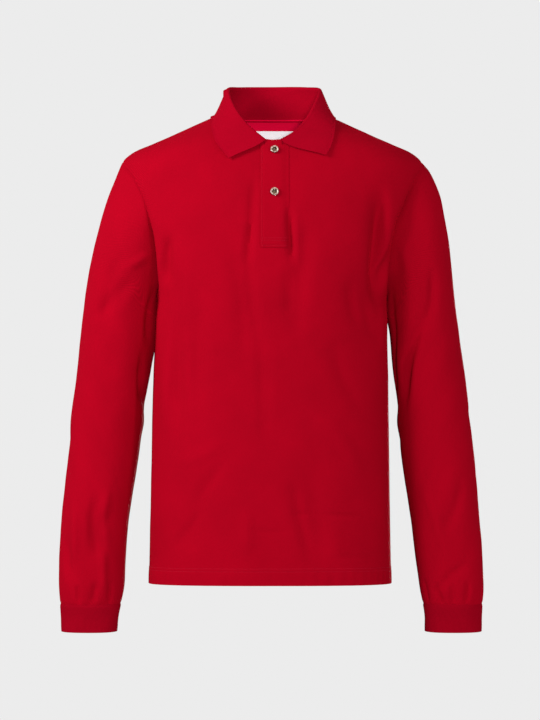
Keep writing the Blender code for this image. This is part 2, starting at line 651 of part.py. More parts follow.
def button(name, height, surface, collection, cutters):
    """A turned button with a dished face and four holes, flat on the placket."""
    radius, thick = BUTTON_RADIUS, BUTTON_THICKNESS
    profile = (
        (0, thick - BUTTON_DISH_DEPTH),
        (BUTTON_DISH_RADIUS - BUTTON_EDGE, thick - BUTTON_DISH_DEPTH),
        (BUTTON_DISH_RADIUS, thick - BUTTON_EDGE / 2),
        (BUTTON_DISH_RADIUS + BUTTON_EDGE, thick),
        (radius - 2 * BUTTON_EDGE, thick - BUTTON_EDGE / 4),
        (radius, thick - 2 * BUTTON_EDGE),
        (radius, 2 * BUTTON_EDGE),
        (radius - 2 * BUTTON_EDGE, 0),
        (0, 0),
    )
    mesh = bpy.data.meshes.new(name)
    edges = [(i, i + 1) for i in range(len(profile) - 1)]
    mesh.from_pydata([(r, 0, z) for r, z in profile], edges, [])
    thing = new_object(name, mesh, surface, collection)
    turned = thing.modifiers.new("turned", "SCREW")
    turned.steps = turned.render_steps = BUTTON_SIDES
    turned.use_merge_vertices = True
    turned.merge_threshold = 0.00001
    normal = Vector(panel_normal(np.array(PLACKET_MIDDLE), np.array(height), 1))
    out = 3 * CLOTH / 2 + 2 * LAY
    seat = Vector(on_panel(np.array(PLACKET_MIDDLE), np.array(height), 1, out))
    place = Matrix.Translation(seat) @ normal.to_track_quat("Z", "Y").to_matrix().to_4x4()
    thing.matrix_world = place

    holes = bmesh.new()
    for corner in range(4):
        angle = math.radians(45 + 90 * corner)
        at = Matrix.Translation(
            (BUTTON_HOLE_OFFSET * math.cos(angle), BUTTON_HOLE_OFFSET * math.sin(angle), thick / 2)
        )
        bmesh.ops.create_cone(
            holes,
            cap_ends=True,
            segments=HOLE_SIDES,
            radius1=BUTTON_HOLE_RADIUS,
            radius2=BUTTON_HOLE_RADIUS,
            depth=2 * thick,
            matrix=at,
        )
    hole_mesh = bpy.data.meshes.new(f"{name}_holes")
    holes.to_mesh(hole_mesh)
    holes.free()
    cutter = bpy.data.objects.new(f"{name}_holes", hole_mesh)
    cutter.matrix_world = place
    cutters.objects.link(cutter)
    cut(thing, cutter)
    return thing


def main():
    for thing in list(bpy.data.objects):
        bpy.data.objects.remove(thing, do_unlink=True)
    shirt = bpy.data.collections.new("polo_shirt")
    cutters = bpy.data.collections.new("cutters")
    for collection in (shirt, cutters):
        bpy.context.scene.collection.children.link(collection)

    pique = material("red pique knit", RED, 0.9)
    rib = material("red rib knit", DARK_RED, 0.9)
    satin = material("white satin tape", WHITE, 0.6)
    pearl = material("pearl", PEARL, 0.25)

    front = cloth("front", panel_grid(1), CLOTH, pique, shirt)
    cut(front, slit_cutter(cutters))
    cloth("back", panel_grid(-1), CLOTH, pique, shirt)
    for wearers, side in SIDES.items():
        cloth(f"sleeve_{wearers}", sleeve_grid(side), CLOTH, pique, shirt, tube=True)
        cloth(f"cuff_{wearers}", cuff_grid(side), RIB, rib, shirt, tube=True)
    cloth("collar", collar_grid(), RIB, rib, shirt)
    cloth("placket_top", placket_grid(CLOTH + LAY, 0, PLACKET_TOP, 0), CLOTH, pique, shirt)
    under = placket_grid(-CLOTH - LAY, UNDER_MARGIN, PLACKET_TOP - UNDER_DROP, UNDER_SPREAD)
    cloth("placket_under", under, CLOTH, pique, shirt)
    cloth("neck_tape", tape_grid(), TAPE_WALL, pique, shirt)
    cloth("neck_label", label_grid(), LABEL_WALL, satin, shirt)
    for name, height in zip(("button_upper", "button_lower"), BUTTON_HEIGHTS):
        button(name, height, pearl, shirt, cutters)


main()
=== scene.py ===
"""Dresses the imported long-sleeved polo shirt: fine cloth shells, seams, stitches, buttons, light and camera.

Metres, +Z up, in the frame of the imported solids. The front faces -Y and +X is the wearer's left. Every piece
of cloth is worked out again on a fine grid from the same body, sleeve and collar forms as the solids, with
the creases, rolled seams and turned hems that the solids leave out.
"""

from __future__ import annotations

import logging
import math
from dataclasses import dataclass, field
from enum import Enum
from typing import Any

import bmesh
import bpy
import numpy as np
from bpy.types import Light, Material, Mesh, NodeSocket, NodeTree, Object, World
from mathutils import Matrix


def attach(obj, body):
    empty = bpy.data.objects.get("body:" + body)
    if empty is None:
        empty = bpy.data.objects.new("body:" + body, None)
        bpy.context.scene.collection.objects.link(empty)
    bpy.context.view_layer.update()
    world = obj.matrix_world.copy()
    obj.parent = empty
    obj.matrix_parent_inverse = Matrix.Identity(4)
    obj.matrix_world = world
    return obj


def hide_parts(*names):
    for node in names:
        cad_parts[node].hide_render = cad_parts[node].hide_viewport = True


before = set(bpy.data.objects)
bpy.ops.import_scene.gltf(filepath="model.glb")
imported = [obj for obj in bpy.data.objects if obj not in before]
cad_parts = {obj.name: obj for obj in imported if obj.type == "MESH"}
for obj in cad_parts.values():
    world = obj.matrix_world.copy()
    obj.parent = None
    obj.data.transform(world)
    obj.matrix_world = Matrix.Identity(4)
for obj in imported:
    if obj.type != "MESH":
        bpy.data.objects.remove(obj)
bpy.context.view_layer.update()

Array = np.ndarray
LOG = logging.getLogger("polo_shirt")
FOLD_REACH = 0.36  # how far from its middle a solid's fold fades, as a share of its length
CREASE_REACH = 0.44  # the same for a crease, which ends more shortly


class Face(Enum):
    """Which panel of the body: its value is 1 for the front and -1 for the back."""

    FRONT = 1
    BACK = -1


class Side(Enum):
    """Which of the wearer's sides: its value is the sign of X there."""

    LEFT = 1
    RIGHT = -1


# --- Curves, grids and small vector sums
def smooth_curve(table: Array, at: Array) -> Array:
    """Reads a table at the places `at`, by cubic pieces that share their slopes.

    Args:
        table: rows whose first column is the place and whose other columns are the values there.
        at: places to read, of any shape.

    Returns:
        The values, with one more axis than `at`, for the table's columns.
    """
    table = np.asarray(table, float)
    table = table[np.argsort(table[:, 0])]
    places, values = table[:, 0], table[:, 1:]
    slopes = np.gradient(values, places, axis=0)
    at = np.clip(np.asarray(at, float), places[0], places[-1])
    piece = np.clip(np.searchsorted(places, at, side="right") - 1, 0, len(places) - 2)
    span = (places[piece + 1] - places[piece])[..., None]
    t = (at - places[piece])[..., None] / span
    return (
        (1 + 2 * t) * (1 - t) ** 2 * values[piece]
        + t * (1 - t) ** 2 * span * slopes[piece]
        + t**2 * (3 - 2 * t) * values[piece + 1]
        - t**2 * (1 - t) * span * slopes[piece + 1]
    )


def bridge(start: Array, end: Array, set_off: Array, arrive: Array, t: Any) -> Array:
    """A cubic from `start` to `end` that leaves by the step `set_off` and comes in by the step `arrive`."""
    return (
        (1 + 2 * t) * (1 - t) ** 2 * start
        + t * (1 - t) ** 2 * set_off
        + t**2 * (3 - 2 * t) * end
        - t**2 * (1 - t) * arrive
    )


def unit(vectors: Array) -> Array:
    """Each vector at a length of one."""
    return vectors / np.maximum(np.linalg.norm(vectors, axis=-1, keepdims=True), 1e-12)


def run_along(points: Array, axis: int) -> Array:
    """How far each grid point is along its row or column, summing the steps between neighbours."""
    steps = np.linalg.norm(np.diff(points, axis=axis), axis=-1)
    start = np.zeros_like(np.take(steps, [0], axis=axis))
    return np.concatenate([start, np.cumsum(steps, axis=axis)], axis=axis)


def grid_normals(points: Array, around: bool = False) -> Array:
    """The grid's unit normals: the cross product of its steps along columns and rows.

    Args:
        points: a grid of points, rows by columns by three.
        around: whether the last column meets the first.

    Returns:
        Normals of the same shape, pointing where columns-then-rows turns by the right-hand rule.
    """
    if around:
        wide = np.concatenate([points[:, -1:], points, points[:, :1]], 1)
        across = (wide[:, 2:] - wide[:, :-2]) / 2
    else:
        across = np.gradient(points, axis=1)
    return unit(np.cross(across, np.gradient(points, axis=0)))


def bell(distance: Array, width: float) -> Array:
    """A soft hump: one at no distance, falling as the exponent of minus the squared distance."""
    return np.exp(-((distance / width) ** 2))


def fading(distance: Array, reach: float) -> Array:
    """A plateau with soft ends: the exponent of minus the fourth power of the distance over the reach."""
    return np.exp(-((distance / reach) ** 4))


@dataclass(frozen=True)
class Crease:
    """A soft trough (negative depth) or ridge along a bowed line on the cloth.

    Start and end are (across, height) on the piece, in metres or in degrees of turn across; the rest is in
    metres. Skew makes one flank steeper than the other, and taper widens (or narrows) it towards its end.
    """

    start: tuple[float, float]
    end: tuple[float, float]
    width: float
    depth: float
    bow: float = 0.0
    skew: float = 0.0
    taper: float = 0.0


def crease_rise(creases: tuple[Crease, ...], across: Array, height: Array, metres: float = 1.0) -> Array:
    """How far creases lift the cloth.

    Each is a bell across its line, whose middle is bowed sideways as a parabola, and fades at both ends as
    the exponent of minus the fourth power of the distance from its middle.

    Args:
        creases: the creases.
        across: where each point is sideways, in metres, or in degrees if `metres` isn't 1.
        height: its height.
        metres: metres for each unit of `across`; degrees also wrap round at a full turn.

    Returns:
        The lift at each point, in metres.
    """
    rise = np.zeros(np.broadcast(across, height).shape)
    for crease in creases:
        offset = across - crease.start[0]
        wide = crease.end[0] - crease.start[0]
        if metres != 1.0:
            offset = (offset + 180) % 360 - 180
        offset, wide = offset * metres, wide * metres
        tall = crease.end[1] - crease.start[1]
        length = math.hypot(wide, tall)
        along = (offset * wide + (height - crease.start[1]) * tall) / length**2
        aside = (offset * tall - (height - crease.start[1]) * wide) / length
        aside = aside - crease.bow * 4 * along * (1 - along)
        width = crease.width * (1 + crease.taper * (along - 0.5))
        width = width * (1 + crease.skew * np.tanh(aside / crease.width))
        rise += crease.depth * bell(aside, width) * fading(along - 0.5, CREASE_REACH)
    return rise


def fold_lift(folds: tuple[tuple[float, ...], ...], radius: float, around: Array, height: Array) -> Array:
    """How far the folds that the solids have too lift the cloth.

    Each is a bell across a slanting line, and fades at both ends as the exponent of minus the fourth power.

    Args:
        folds: rows of (around, upper, around at the lower end, lower, width, depth), around in degrees.
        radius: metres of cloth for each radian of turn.
        around: degrees of turn of each point.
        height: its height.

    Returns:
        The lift at each point, in metres.
    """
    rise = np.zeros(np.broadcast(around, height).shape)
    for start, upper, end, lower, width, depth in folds:
        along = (upper - height) / (upper - lower)
        line = start + (end - start) * along
        across = np.radians((around - line + 180) % 360 - 180) * radius
        rise += depth * bell(across, width) * fading(along - 0.5, FOLD_REACH)
    return rise


def ripple(across: Array, height: Array, size: float) -> Array:
    """Slight unevenness of hanging knit: products of sines whose wavelengths don't match, 35 to 170 mm.

    Args:
        across: metres of cloth round the piece.
        height: the height of each point.
        size: the lift of the largest wave.

    Returns:
        The lift at each point, in metres.
    """
    wave = np.sin(across * 61 + 2.1 * np.sin(height * 23 + 0.7)) * np.sin(height * 37 + 1.3 + across * 11)
    wave += 0.7 * np.sin(across * 103 + height * 29 + 2.0) * np.sin(height * 71 - across * 19)
    wave += 0.5 * np.sin(across * 167 - height * 47 + 0.4) * np.sin(height * 119 + across * 43 + 2.2)
    return size * wave


# --- The forms that the solids share
@dataclass(frozen=True)
class Body:
    """The body form: at each height a rounded oblong with its own width, front and back.

    Cloth is the knit's wall, seam the gap between sewn pieces and lay the gap under a piece that lies on
    another. Sections are (height, middle, half width, front, back, ridge, squareness). Folds are (around,
    upper, around at the lower end, lower, width, depth), with around in degrees from the middle of the
    front. Armhole reach is by (side, front or back). Valleys, which only the dressed cloth has, are
    (turn at the middle, reach in degrees, depth).
    """

    cloth: float = 0.0012
    seam: float = 0.0005
    lay: float = 0.0011
    hem: float = -0.677
    hem_rise: float = 0.006
    underarm: float = -0.258
    shoulder_tip: float = -0.064
    neck_point: float = 0.001
    neck_half_width: float = 0.08
    front_neck: float = -0.048
    back_neck: float = 0.0025
    neck_share: float = 0.4
    probe: float = 0.0005
    fold_radius: float = 0.14
    sections: tuple[tuple[float, ...], ...] = (
        (-0.7, -0.0028, 0.1755, -0.106, 0.103, 0.0, 2.5),
        (-0.513, -0.0024, 0.172, -0.107, 0.099, 0.0, 2.5),
        (-0.374, -0.0018, 0.1695, -0.11, 0.099, 0.0, 2.5),
        (-0.3, -0.0008, 0.1672, -0.113, 0.103, 0.001, 2.5),
        (-0.258, 0.0, 0.1675, -0.115, 0.106, 0.002, 2.5),
        (-0.235, 0.0, 0.176, -0.114, 0.108, 0.003, 2.5),
        (-0.21, 0.0, 0.186, -0.112, 0.109, 0.003, 2.5),
        (-0.175, 0.0, 0.201, -0.108, 0.11, 0.004, 2.4),
        (-0.13, 0.0, 0.215, -0.099, 0.109, 0.005, 2.3),
        (-0.095, 0.0, 0.22, -0.089, 0.105, 0.006, 2.3),
        (-0.064, 0.0, 0.215, -0.078, 0.097, 0.007, 2.3),
        (-0.052, 0.0, 0.199, -0.072, 0.093, 0.007, 2.3),
        (-0.041, 0.0, 0.1735, -0.066, 0.088, 0.007, 2.3),
        (-0.023, 0.0, 0.1325, -0.052, 0.078, 0.008, 2.3),
        (-0.006, 0.0, 0.096, -0.034, 0.067, 0.008, 2.3),
        (0.006, 0.0, 0.068, -0.02, 0.058, 0.008, 2.3),
    )
    folds: tuple[tuple[float, ...], ...] = (
        (-66, -0.19, -78, -0.262, 0.01, -0.006),
        (-52, -0.23, -58, -0.48, 0.014, 0.0035),
        (-42, -0.23, -46, -0.48, 0.014, -0.0035),
        (-12, -0.17, -8, -0.37, 0.01, -0.0035),
        (9, -0.15, 8, -0.34, 0.01, -0.0035),
        (60, -0.125, 68, -0.262, 0.014, -0.007),
        (46, -0.25, 56, -0.33, 0.014, -0.003),
        (14, -0.48, 20, -0.67, 0.016, -0.004),
        (-24, -0.5, -40, -0.64, 0.016, -0.0035),
        (150, -0.12, 116, -0.262, 0.016, -0.005),
        (-150, -0.12, -116, -0.262, 0.016, -0.005),
        (158, -0.33, 150, -0.64, 0.02, -0.0045),
        (-168, -0.3, -160, -0.56, 0.02, -0.0045),
        (-128, -0.38, -134, -0.67, 0.018, 0.004),
        (124, -0.4, 130, -0.67, 0.018, 0.004),
    )
    armhole_reach: dict[tuple[int, int], float] = field(
        default_factory=lambda: {(1, 1): 0.054, (-1, 1): 0.068, (1, -1): 0.057, (-1, -1): 0.057}
    )
    valley_width: float = 0.0075
    valleys: dict[Side, tuple[float, float, float]] = field(
        default_factory=lambda: {Side.LEFT: (110, 56, 0.014), Side.RIGHT: (128, 38, 0.012)}
    )

    def section(self, height: Array) -> tuple[Array, ...]:
        """The form's sizes at each height, in the order of the section's columns."""
        return tuple(np.moveaxis(smooth_curve(np.array(self.sections), height), -1, 0))

    def point(self, around: Array, height: Array) -> Array:
        """Points of the form: a superellipse whose radii are the section's half width, front and back.

        Args:
            around: degrees from the middle of the front towards +X.
            height: heights, broadcast with `around`.

        Returns:
            The points, with the form's own folds.
        """
        around, height = np.broadcast_arrays(np.asarray(around, float), np.asarray(height, float))
        middle, half_width, front, back, ridge, squareness = self.section(height)
        across, ahead = np.sin(np.radians(around)), np.cos(np.radians(around))
        depth = np.where(ahead > 0, ridge - front, back - ridge)
        x = middle + half_width * np.sign(across) * np.abs(across) ** (2 / squareness)
        y = ridge - depth * np.sign(ahead) * np.abs(ahead) ** (2 / squareness)
        rise = fold_lift(self.folds, self.fold_radius, around, height)
        return np.stack([x + rise * across, y - rise * ahead, height], -1)

    def outside(self, points: Array) -> Array:
        """How far points lie outside the form, as a share of its width: the superellipse's own sum less 1."""
        middle, half_width, front, back, ridge, squareness = self.section(points[..., 2])
        depth = np.where(points[..., 1] < ridge, ridge - front, back - ridge)
        across = np.abs((points[..., 0] - middle) / half_width) ** squareness
        ahead = np.abs((points[..., 1] - ridge) / depth) ** squareness
        return (across + ahead) ** (1 / squareness) - 1

    def slope(self, points: Array) -> Array:
        """Where `outside` grows fastest, from a short step along each axis."""
        steps = self.probe * np.eye(3)
        return np.stack([(self.outside(points + s) - self.outside(points)) / self.probe for s in steps], -1)

    def around_at(self, x: Array, height: Array, face: Face) -> Array:
        """The turn round the form, in degrees, at which a panel has this x: the superellipse's arcsine."""
        middle, half_width, _, _, _, squareness = self.section(height)
        share = np.clip((x - middle) / half_width, -1, 1)
        turn = np.degrees(np.arcsin(np.abs(share) ** (squareness / 2)))
        return np.where(share < 0, -1, 1) * (turn if face is Face.FRONT else 180 - turn)

    def panel_point(self, x: Array, height: Array, face: Face) -> Array:
        """The panel's point at this x and height, half a seam clear of the form's ridge."""
        point = self.point(self.around_at(x, height, face), height)
        point[..., 1] -= face.value * self.seam / 2
        return point

    def panel_normal(self, x: Array, height: Array, face: Face) -> Array:
        """The panel's outward direction: the cross product of a short step right and a short step up."""
        step = self.probe
        right = self.panel_point(x + step, height, face) - self.panel_point(x - step, height, face)
        up = self.panel_point(x, height + step, face) - self.panel_point(x, height - step, face)
        return unit(face.value * np.cross(right, up))

    def on_panel(self, x: Array, height: Array, face: Face, out: Any) -> Array:
        """Points `out` metres off the panel's middle surface, along its normal."""
        normal = self.panel_normal(x, height, face)
        return self.panel_point(x, height, face) + np.asarray(out)[..., None] * normal

    def armhole(self, turn: Array, side: Side) -> tuple[Array, Array, Array]:
        """The armhole, an upright oval seen from the side.

        Height follows the turn's cosine and the reach forward its sine; x is where the form has that reach.

        Args:
            turn: degrees round the oval, from its top forwards.
            side: which armhole.

        Returns:
            x, the height, and whether the point is on the front panel.
        """
        sign = side.value
        height = self.underarm + (self.shoulder_tip - self.underarm) * (1 + np.cos(np.radians(turn))) / 2
        forward = np.sin(np.radians(turn))
        ahead, behind = self.armhole_reach[(sign, 1)], self.armhole_reach[(sign, -1)]
        reach = np.where(forward > 0, ahead, behind) * np.abs(forward)
        middle, half_width, front, back, ridge, squareness = self.section(height)
        depth = np.where(forward > 0, ridge - front, back - ridge)
        x = sign * middle + half_width * (1 - (reach / depth) ** squareness) ** (1 / squareness)
        return sign * x, height, forward > 0

    def armhole_point(self, turn: Array, side: Side) -> Array:
        """The point of the armhole's edge at each turn."""
        x, height, ahead = self.armhole(turn, side)
        front = self.panel_point(x, height, Face.FRONT)
        return np.where(ahead[..., None], front, self.panel_point(x, height, Face.BACK))

    def across_armhole(self, turn: Array, side: Side) -> Array:
        """The way in which the panel's cloth would run on over the armhole's edge.

        It is the cross product of the edge's direction and the form's slope, signed towards the middle.
        """
        edge = self.armhole_point(turn, side)
        run = self.armhole_point(turn + 1, side) - self.armhole_point(turn - 1, side)
        across = unit(np.cross(run, self.slope(edge)))
        inwards = self.armhole_point(np.array([0.0, 90.0, 180.0, 270.0]), side).mean(axis=0) - edge
        return across * np.sign(np.sum(across * inwards, axis=-1, keepdims=True))

    def armhole_turn(self, height: Array) -> Array:
        """The turn from 0 to 180 at which the armhole's edge is at this height."""
        rise = (height - self.underarm) / (self.shoulder_tip - self.underarm)
        return np.degrees(np.arccos(np.clip(2 * rise - 1, -1, 1)))

    def valley(self, side: Side, turn: Array) -> Array:
        """How deep the dressed cloth sinks at the armhole's seam in front: a plateau with soft ends."""
        middle, reach, depth = self.valleys[side]
        return depth * fading(turn - middle, reach)

    def beside_valley(self, gap: Array) -> Array:
        """The share of the valley's depth at this distance from the seam: an exponent, sharp at the seam."""
        return np.exp(-gap / self.valley_width)

    def neckline(self, turn: Array) -> tuple[Array, Array]:
        """(x, height) of the neckline at degrees from the middle of the front: a cosine drop at each end."""
        low = np.where(np.cos(np.radians(turn)) > 0, self.front_neck, self.back_neck)
        drop = (low - self.neck_point) * np.abs(np.cos(np.radians(turn)))
        return self.neck_half_width * np.sin(np.radians(turn)), self.neck_point + drop

    def top_edge(self, share: Array, face: Face) -> tuple[Array, Array]:
        """A panel's top edge: along the neckline, then out along the shoulder seam.

        Args:
            share: how far out each column is, from 0 at the middle to 1 at the armhole.
            face: which panel.

        Returns:
            The distance from the middle and the height.
        """
        quarter = 90 * np.minimum(share / self.neck_share, 1)
        neck_x, neck_height = self.neckline(quarter if face is Face.FRONT else 180 - quarter)
        heights = np.linspace(self.neck_point, self.shoulder_tip, 400)
        widths = self.section(heights)[1]
        out = np.clip((share - self.neck_share) / (1 - self.neck_share), 0, 1)
        shoulder_x = widths[0] + (widths[-1] - widths[0]) * out
        shoulder_height = np.interp(shoulder_x, widths, heights)
        on_neck = share < self.neck_share
        return np.where(on_neck, neck_x, shoulder_x), np.where(on_neck, neck_height, shoulder_height)


# --- Finishes
def linear(hex_colour: str) -> tuple[float, float, float, float]:
    """An sRGB hex colour as linear red, green, blue and alpha."""
    parts = np.array([int(hex_colour[i : i + 2], 16) / 255 for i in (1, 3, 5)])
    parts = np.where(parts <= 0.04045, parts / 12.92, ((parts + 0.055) / 1.055) ** 2.4)
    return (float(parts[0]), float(parts[1]), float(parts[2]), 1.0)


def add_node(
    tree: NodeTree, kind: str, inputs: dict[Any, Any] | None = None, **settings: Any
) -> Any:
    """Adds a node, sets its settings, and sets or links its inputs.

    Args:
        tree: the node tree.
        kind: the shader node's type name.
        inputs: for each input's name or number, a value or an output socket to link.
        settings: attributes of the node itself.

    Returns:
        The node.
    """
    made = tree.nodes.new(f"ShaderNode{kind}")
    for name, value in settings.items():
        setattr(made, name, value)
    for key, value in (inputs or {}).items():
        if isinstance(value, NodeSocket):
            tree.links.new(value, made.inputs[key])
        else:
            made.inputs[key].default_value = value
    return made


def calc(tree: NodeTree, operation: str, *values: Any) -> Any:
    """The output of one step of arithmetic on numbers or sockets."""
    return add_node(tree, "Math", dict(enumerate(values)), operation=operation).outputs[0]


def blend(tree: NodeTree, share: Any, first: Any, second: Any) -> Any:
    """The output of a mix of two colours or sockets, by the share of the second."""
    return add_node(tree, "Mix", {0: share, 6: first, 7: second}, data_type="RGBA").outputs[2]


@dataclass(frozen=True)
class Finish:
    """What every finish shares: a name and a shader, which reads the piece's own map in metres of cloth."""

    name: str
    colour: str
    # shade is painted shade for the hollows of a knit, label or thread; for the button it is a marbling colour
    # of its own
    shade: str

    def start(self, settings: dict[str, Any]) -> tuple[Material, Any, Any]:
        """Begins a material.

        Args:
            settings: the shader's constant inputs.

        Returns:
            The material, its shader, and the output of the piece's map.
        """
        made = bpy.data.materials.new(self.name)
        made.use_nodes = True
        tree = made.node_tree
        tree.nodes.clear()
        shader = add_node(tree, "BsdfPrincipled", settings)
        add_node(tree, "OutputMaterial", {"Surface": shader.outputs[0]})
        spread = add_node(tree, "UVMap", uv_map="cloth")
        return made, shader, spread.outputs[0]

    def paint_hollow_shade(self, tree: NodeTree, share: Any) -> Any:
        """Painted shade: the finish's colour where the share is one, and its darker shade colour, standing for
        shade in a hollow, where it is nought.
        """
        return blend(tree, share, linear(self.shade), linear(self.colour))


@dataclass(frozen=True)
class CottonKnit(Finish):
    """Dyed combed cotton, knitted: matt, with a soft fuzz that lifts its edges, and painted shade in its
    hollows.

    The pitch is one pattern repeat. It is near the real knit's, and finer than the render's pixels when the
    whole shirt is in view, where it only dulls the cloth. Unevenness is the share by which the colour varies
    over a hand's width, and fuzz the weight of the sheen that fibre ends give to edges.
    """

    pitch: float = 0.0013
    relief: float = 0.00022
    unevenness: float = 0.05
    fuzz: float = 0.3
    sheen: str = "#C0001E"
    fibre_scale: float = 2600.0
    cloud_scale: float = 14.0

    def height(self, tree: NodeTree, spread: Any) -> Any:
        """The knit's relief from 0 to 1. Pique: a lattice of diamond hollows, from cells on a turned grid.

        Args:
            tree: the material's nodes.
            spread: the output of the piece's map.

        Returns:
            The relief's output.
        """
        size = 1 / self.pitch
        turned = {"Vector": spread, "Rotation": (0, 0, math.radians(45)), "Scale": (size, size, size)}
        lattice = add_node(tree, "Mapping", turned)
        cells = add_node(
            tree,
            "TexVoronoi",
            {"Vector": lattice.outputs[0], "Scale": 1.0, "Randomness": 0.14},
            voronoi_dimensions="2D",
        )
        return add_node(
            tree, "MapRange", {"Value": cells.outputs["Distance"], "From Min": 0.08, "From Max": 0.62}
        ).outputs[0]

    def material(self) -> Material:
        """Painted shade that darkens the hollows of the relief, with broad cloudiness and a fine fibre grain,
        under a soft sheen.
        """
        made, shader, spread = self.start(
            {
                "Roughness": 0.92,
                "Specular IOR Level": 0.03,
                "Sheen Weight": self.fuzz,
                "Sheen Roughness": 0.45,
                "Sheen Tint": linear(self.sheen),
            }
        )
        tree = made.node_tree
        relief = self.height(tree, spread)
        cloud = add_node(tree, "TexNoise", {"Vector": spread, "Scale": self.cloud_scale, "Detail": 3.0})
        fibre = add_node(tree, "TexNoise", {"Vector": spread, "Scale": self.fibre_scale, "Detail": 2.0})
        # painted shade: the colour falls to the shade colour in the knit's hollows
        mixed = self.paint_hollow_shade(tree, relief)
        value = add_node(
            tree,
            "MapRange",
            {
                "Value": cloud.outputs[0],
                "From Min": 0.3,
                "From Max": 0.7,
                "To Min": 1 - self.unevenness,
                "To Max": 1 + self.unevenness,
            },
        )
        grain = calc(tree, "MULTIPLY_ADD", fibre.outputs[0], 0.16, value.outputs[0])
        # the painted shade of the hollows, with the cloth's own cloudy tone and fibre grain
        dyed = add_node(tree, "HueSaturation", {"Color": mixed, "Value": grain})
        raised = calc(tree, "MULTIPLY_ADD", fibre.outputs[0], 0.25, relief)
        bump = add_node(tree, "Bump", {"Height": raised, "Strength": 0.6, "Distance": self.relief})
        tree.links.new(dyed.outputs[0], shader.inputs["Base Color"])
        tree.links.new(bump.outputs[0], shader.inputs["Normal"])
        return made


@dataclass(frozen=True)
class RibKnit(CottonKnit):
    """Flat-knitted rib, as on collars and cuffs: close upright ribs crossed by fine courses.

    The real ribs are too fine to show in the render, so they are drawn a little coarser.
    """

    def height(self, tree: NodeTree, spread: Any) -> Any:
        """Ribs as a sine across the map's first axis, nicked by a finer sine along the second."""
        parts = add_node(tree, "SeparateXYZ", {0: spread})
        waves = []
        for axis, pitch in (("X", self.pitch), ("Y", self.pitch * 0.55)):
            turn = calc(tree, "MULTIPLY", parts.outputs[axis], math.tau / pitch)
            waves.append(calc(tree, "SINE", turn))
        both = calc(tree, "MULTIPLY_ADD", waves[1], 0.35, waves[0])
        return add_node(tree, "MapRange", {"Value": both, "From Min": -1.35, "From Max": 1.35}).outputs[0]


@dataclass(frozen=True)
class WovenLabel(Finish):
    """Satin-woven polyester tape, heat-cut: close, smooth and faintly lustrous, with fine ribs across it.

    Its glow is painted light: an emission far stronger than a real optical brightener gives, so that the label
    is as white as in the photograph although it sits in the shade of the red neck.
    """

    pitch: float = 0.0007
    # painted light: the label's own glow, stronger than a brightener's
    painted_glow: float = 0.28
    painted_glow_colour: tuple[float, float, float, float] = (1.0, 0.85, 1.0, 1.0)

    def material(self) -> Material:
        """A pale shader whose bump is a band pattern at the pitch of the ribs, with painted shade between the
        ribs.
        """
        made, shader, spread = self.start(
            {
                "Roughness": 0.48,
                "Specular IOR Level": 0.4,
                "Sheen Weight": 0.15,
                "Sheen Roughness": 0.3,
                "Emission Color": self.painted_glow_colour,
                "Emission Strength": self.painted_glow,
            }
        )
        tree = made.node_tree
        bands = add_node(
            tree,
            "TexWave",
            {"Vector": spread, "Scale": math.tau / (20 * self.pitch), "Distortion": 0.4, "Detail": 1.0},
            bands_direction="Y",
        )
        # painted shade: the colour falls to the shade colour between the label's ribs
        mixed = self.paint_hollow_shade(tree, bands.outputs["Fac"])
        bump = add_node(tree, "Bump", {"Height": bands.outputs["Fac"], "Strength": 0.4, "Distance": 0.0001})
        tree.links.new(mixed, shader.inputs["Base Color"])
        tree.links.new(bump.outputs[0], shader.inputs["Normal"])
        return made


@dataclass(frozen=True)
class SewingThread(Finish):
    """Spun polyester thread, dyed to match: two twisted plies, a little glossier than the knit."""

    ply: float = 0.0006

    def material(self) -> Material:
        """A slightly glossy shader with slanting bands, one for each ply, darker between the plies as painted
        shade.
        """
        made, shader, spread = self.start({"Roughness": 0.6, "Specular IOR Level": 0.12})
        tree = made.node_tree
        plies = add_node(
            tree,
            "TexWave",
            {"Vector": spread, "Scale": math.tau / (20 * self.ply), "Distortion": 0.0},
            bands_direction="DIAGONAL",
        )
        # painted shade: the colour falls to the shade colour between the plies
        mixed = self.paint_hollow_shade(tree, plies.outputs["Fac"])
        tree.links.new(mixed, shader.inputs["Base Color"])
        return made


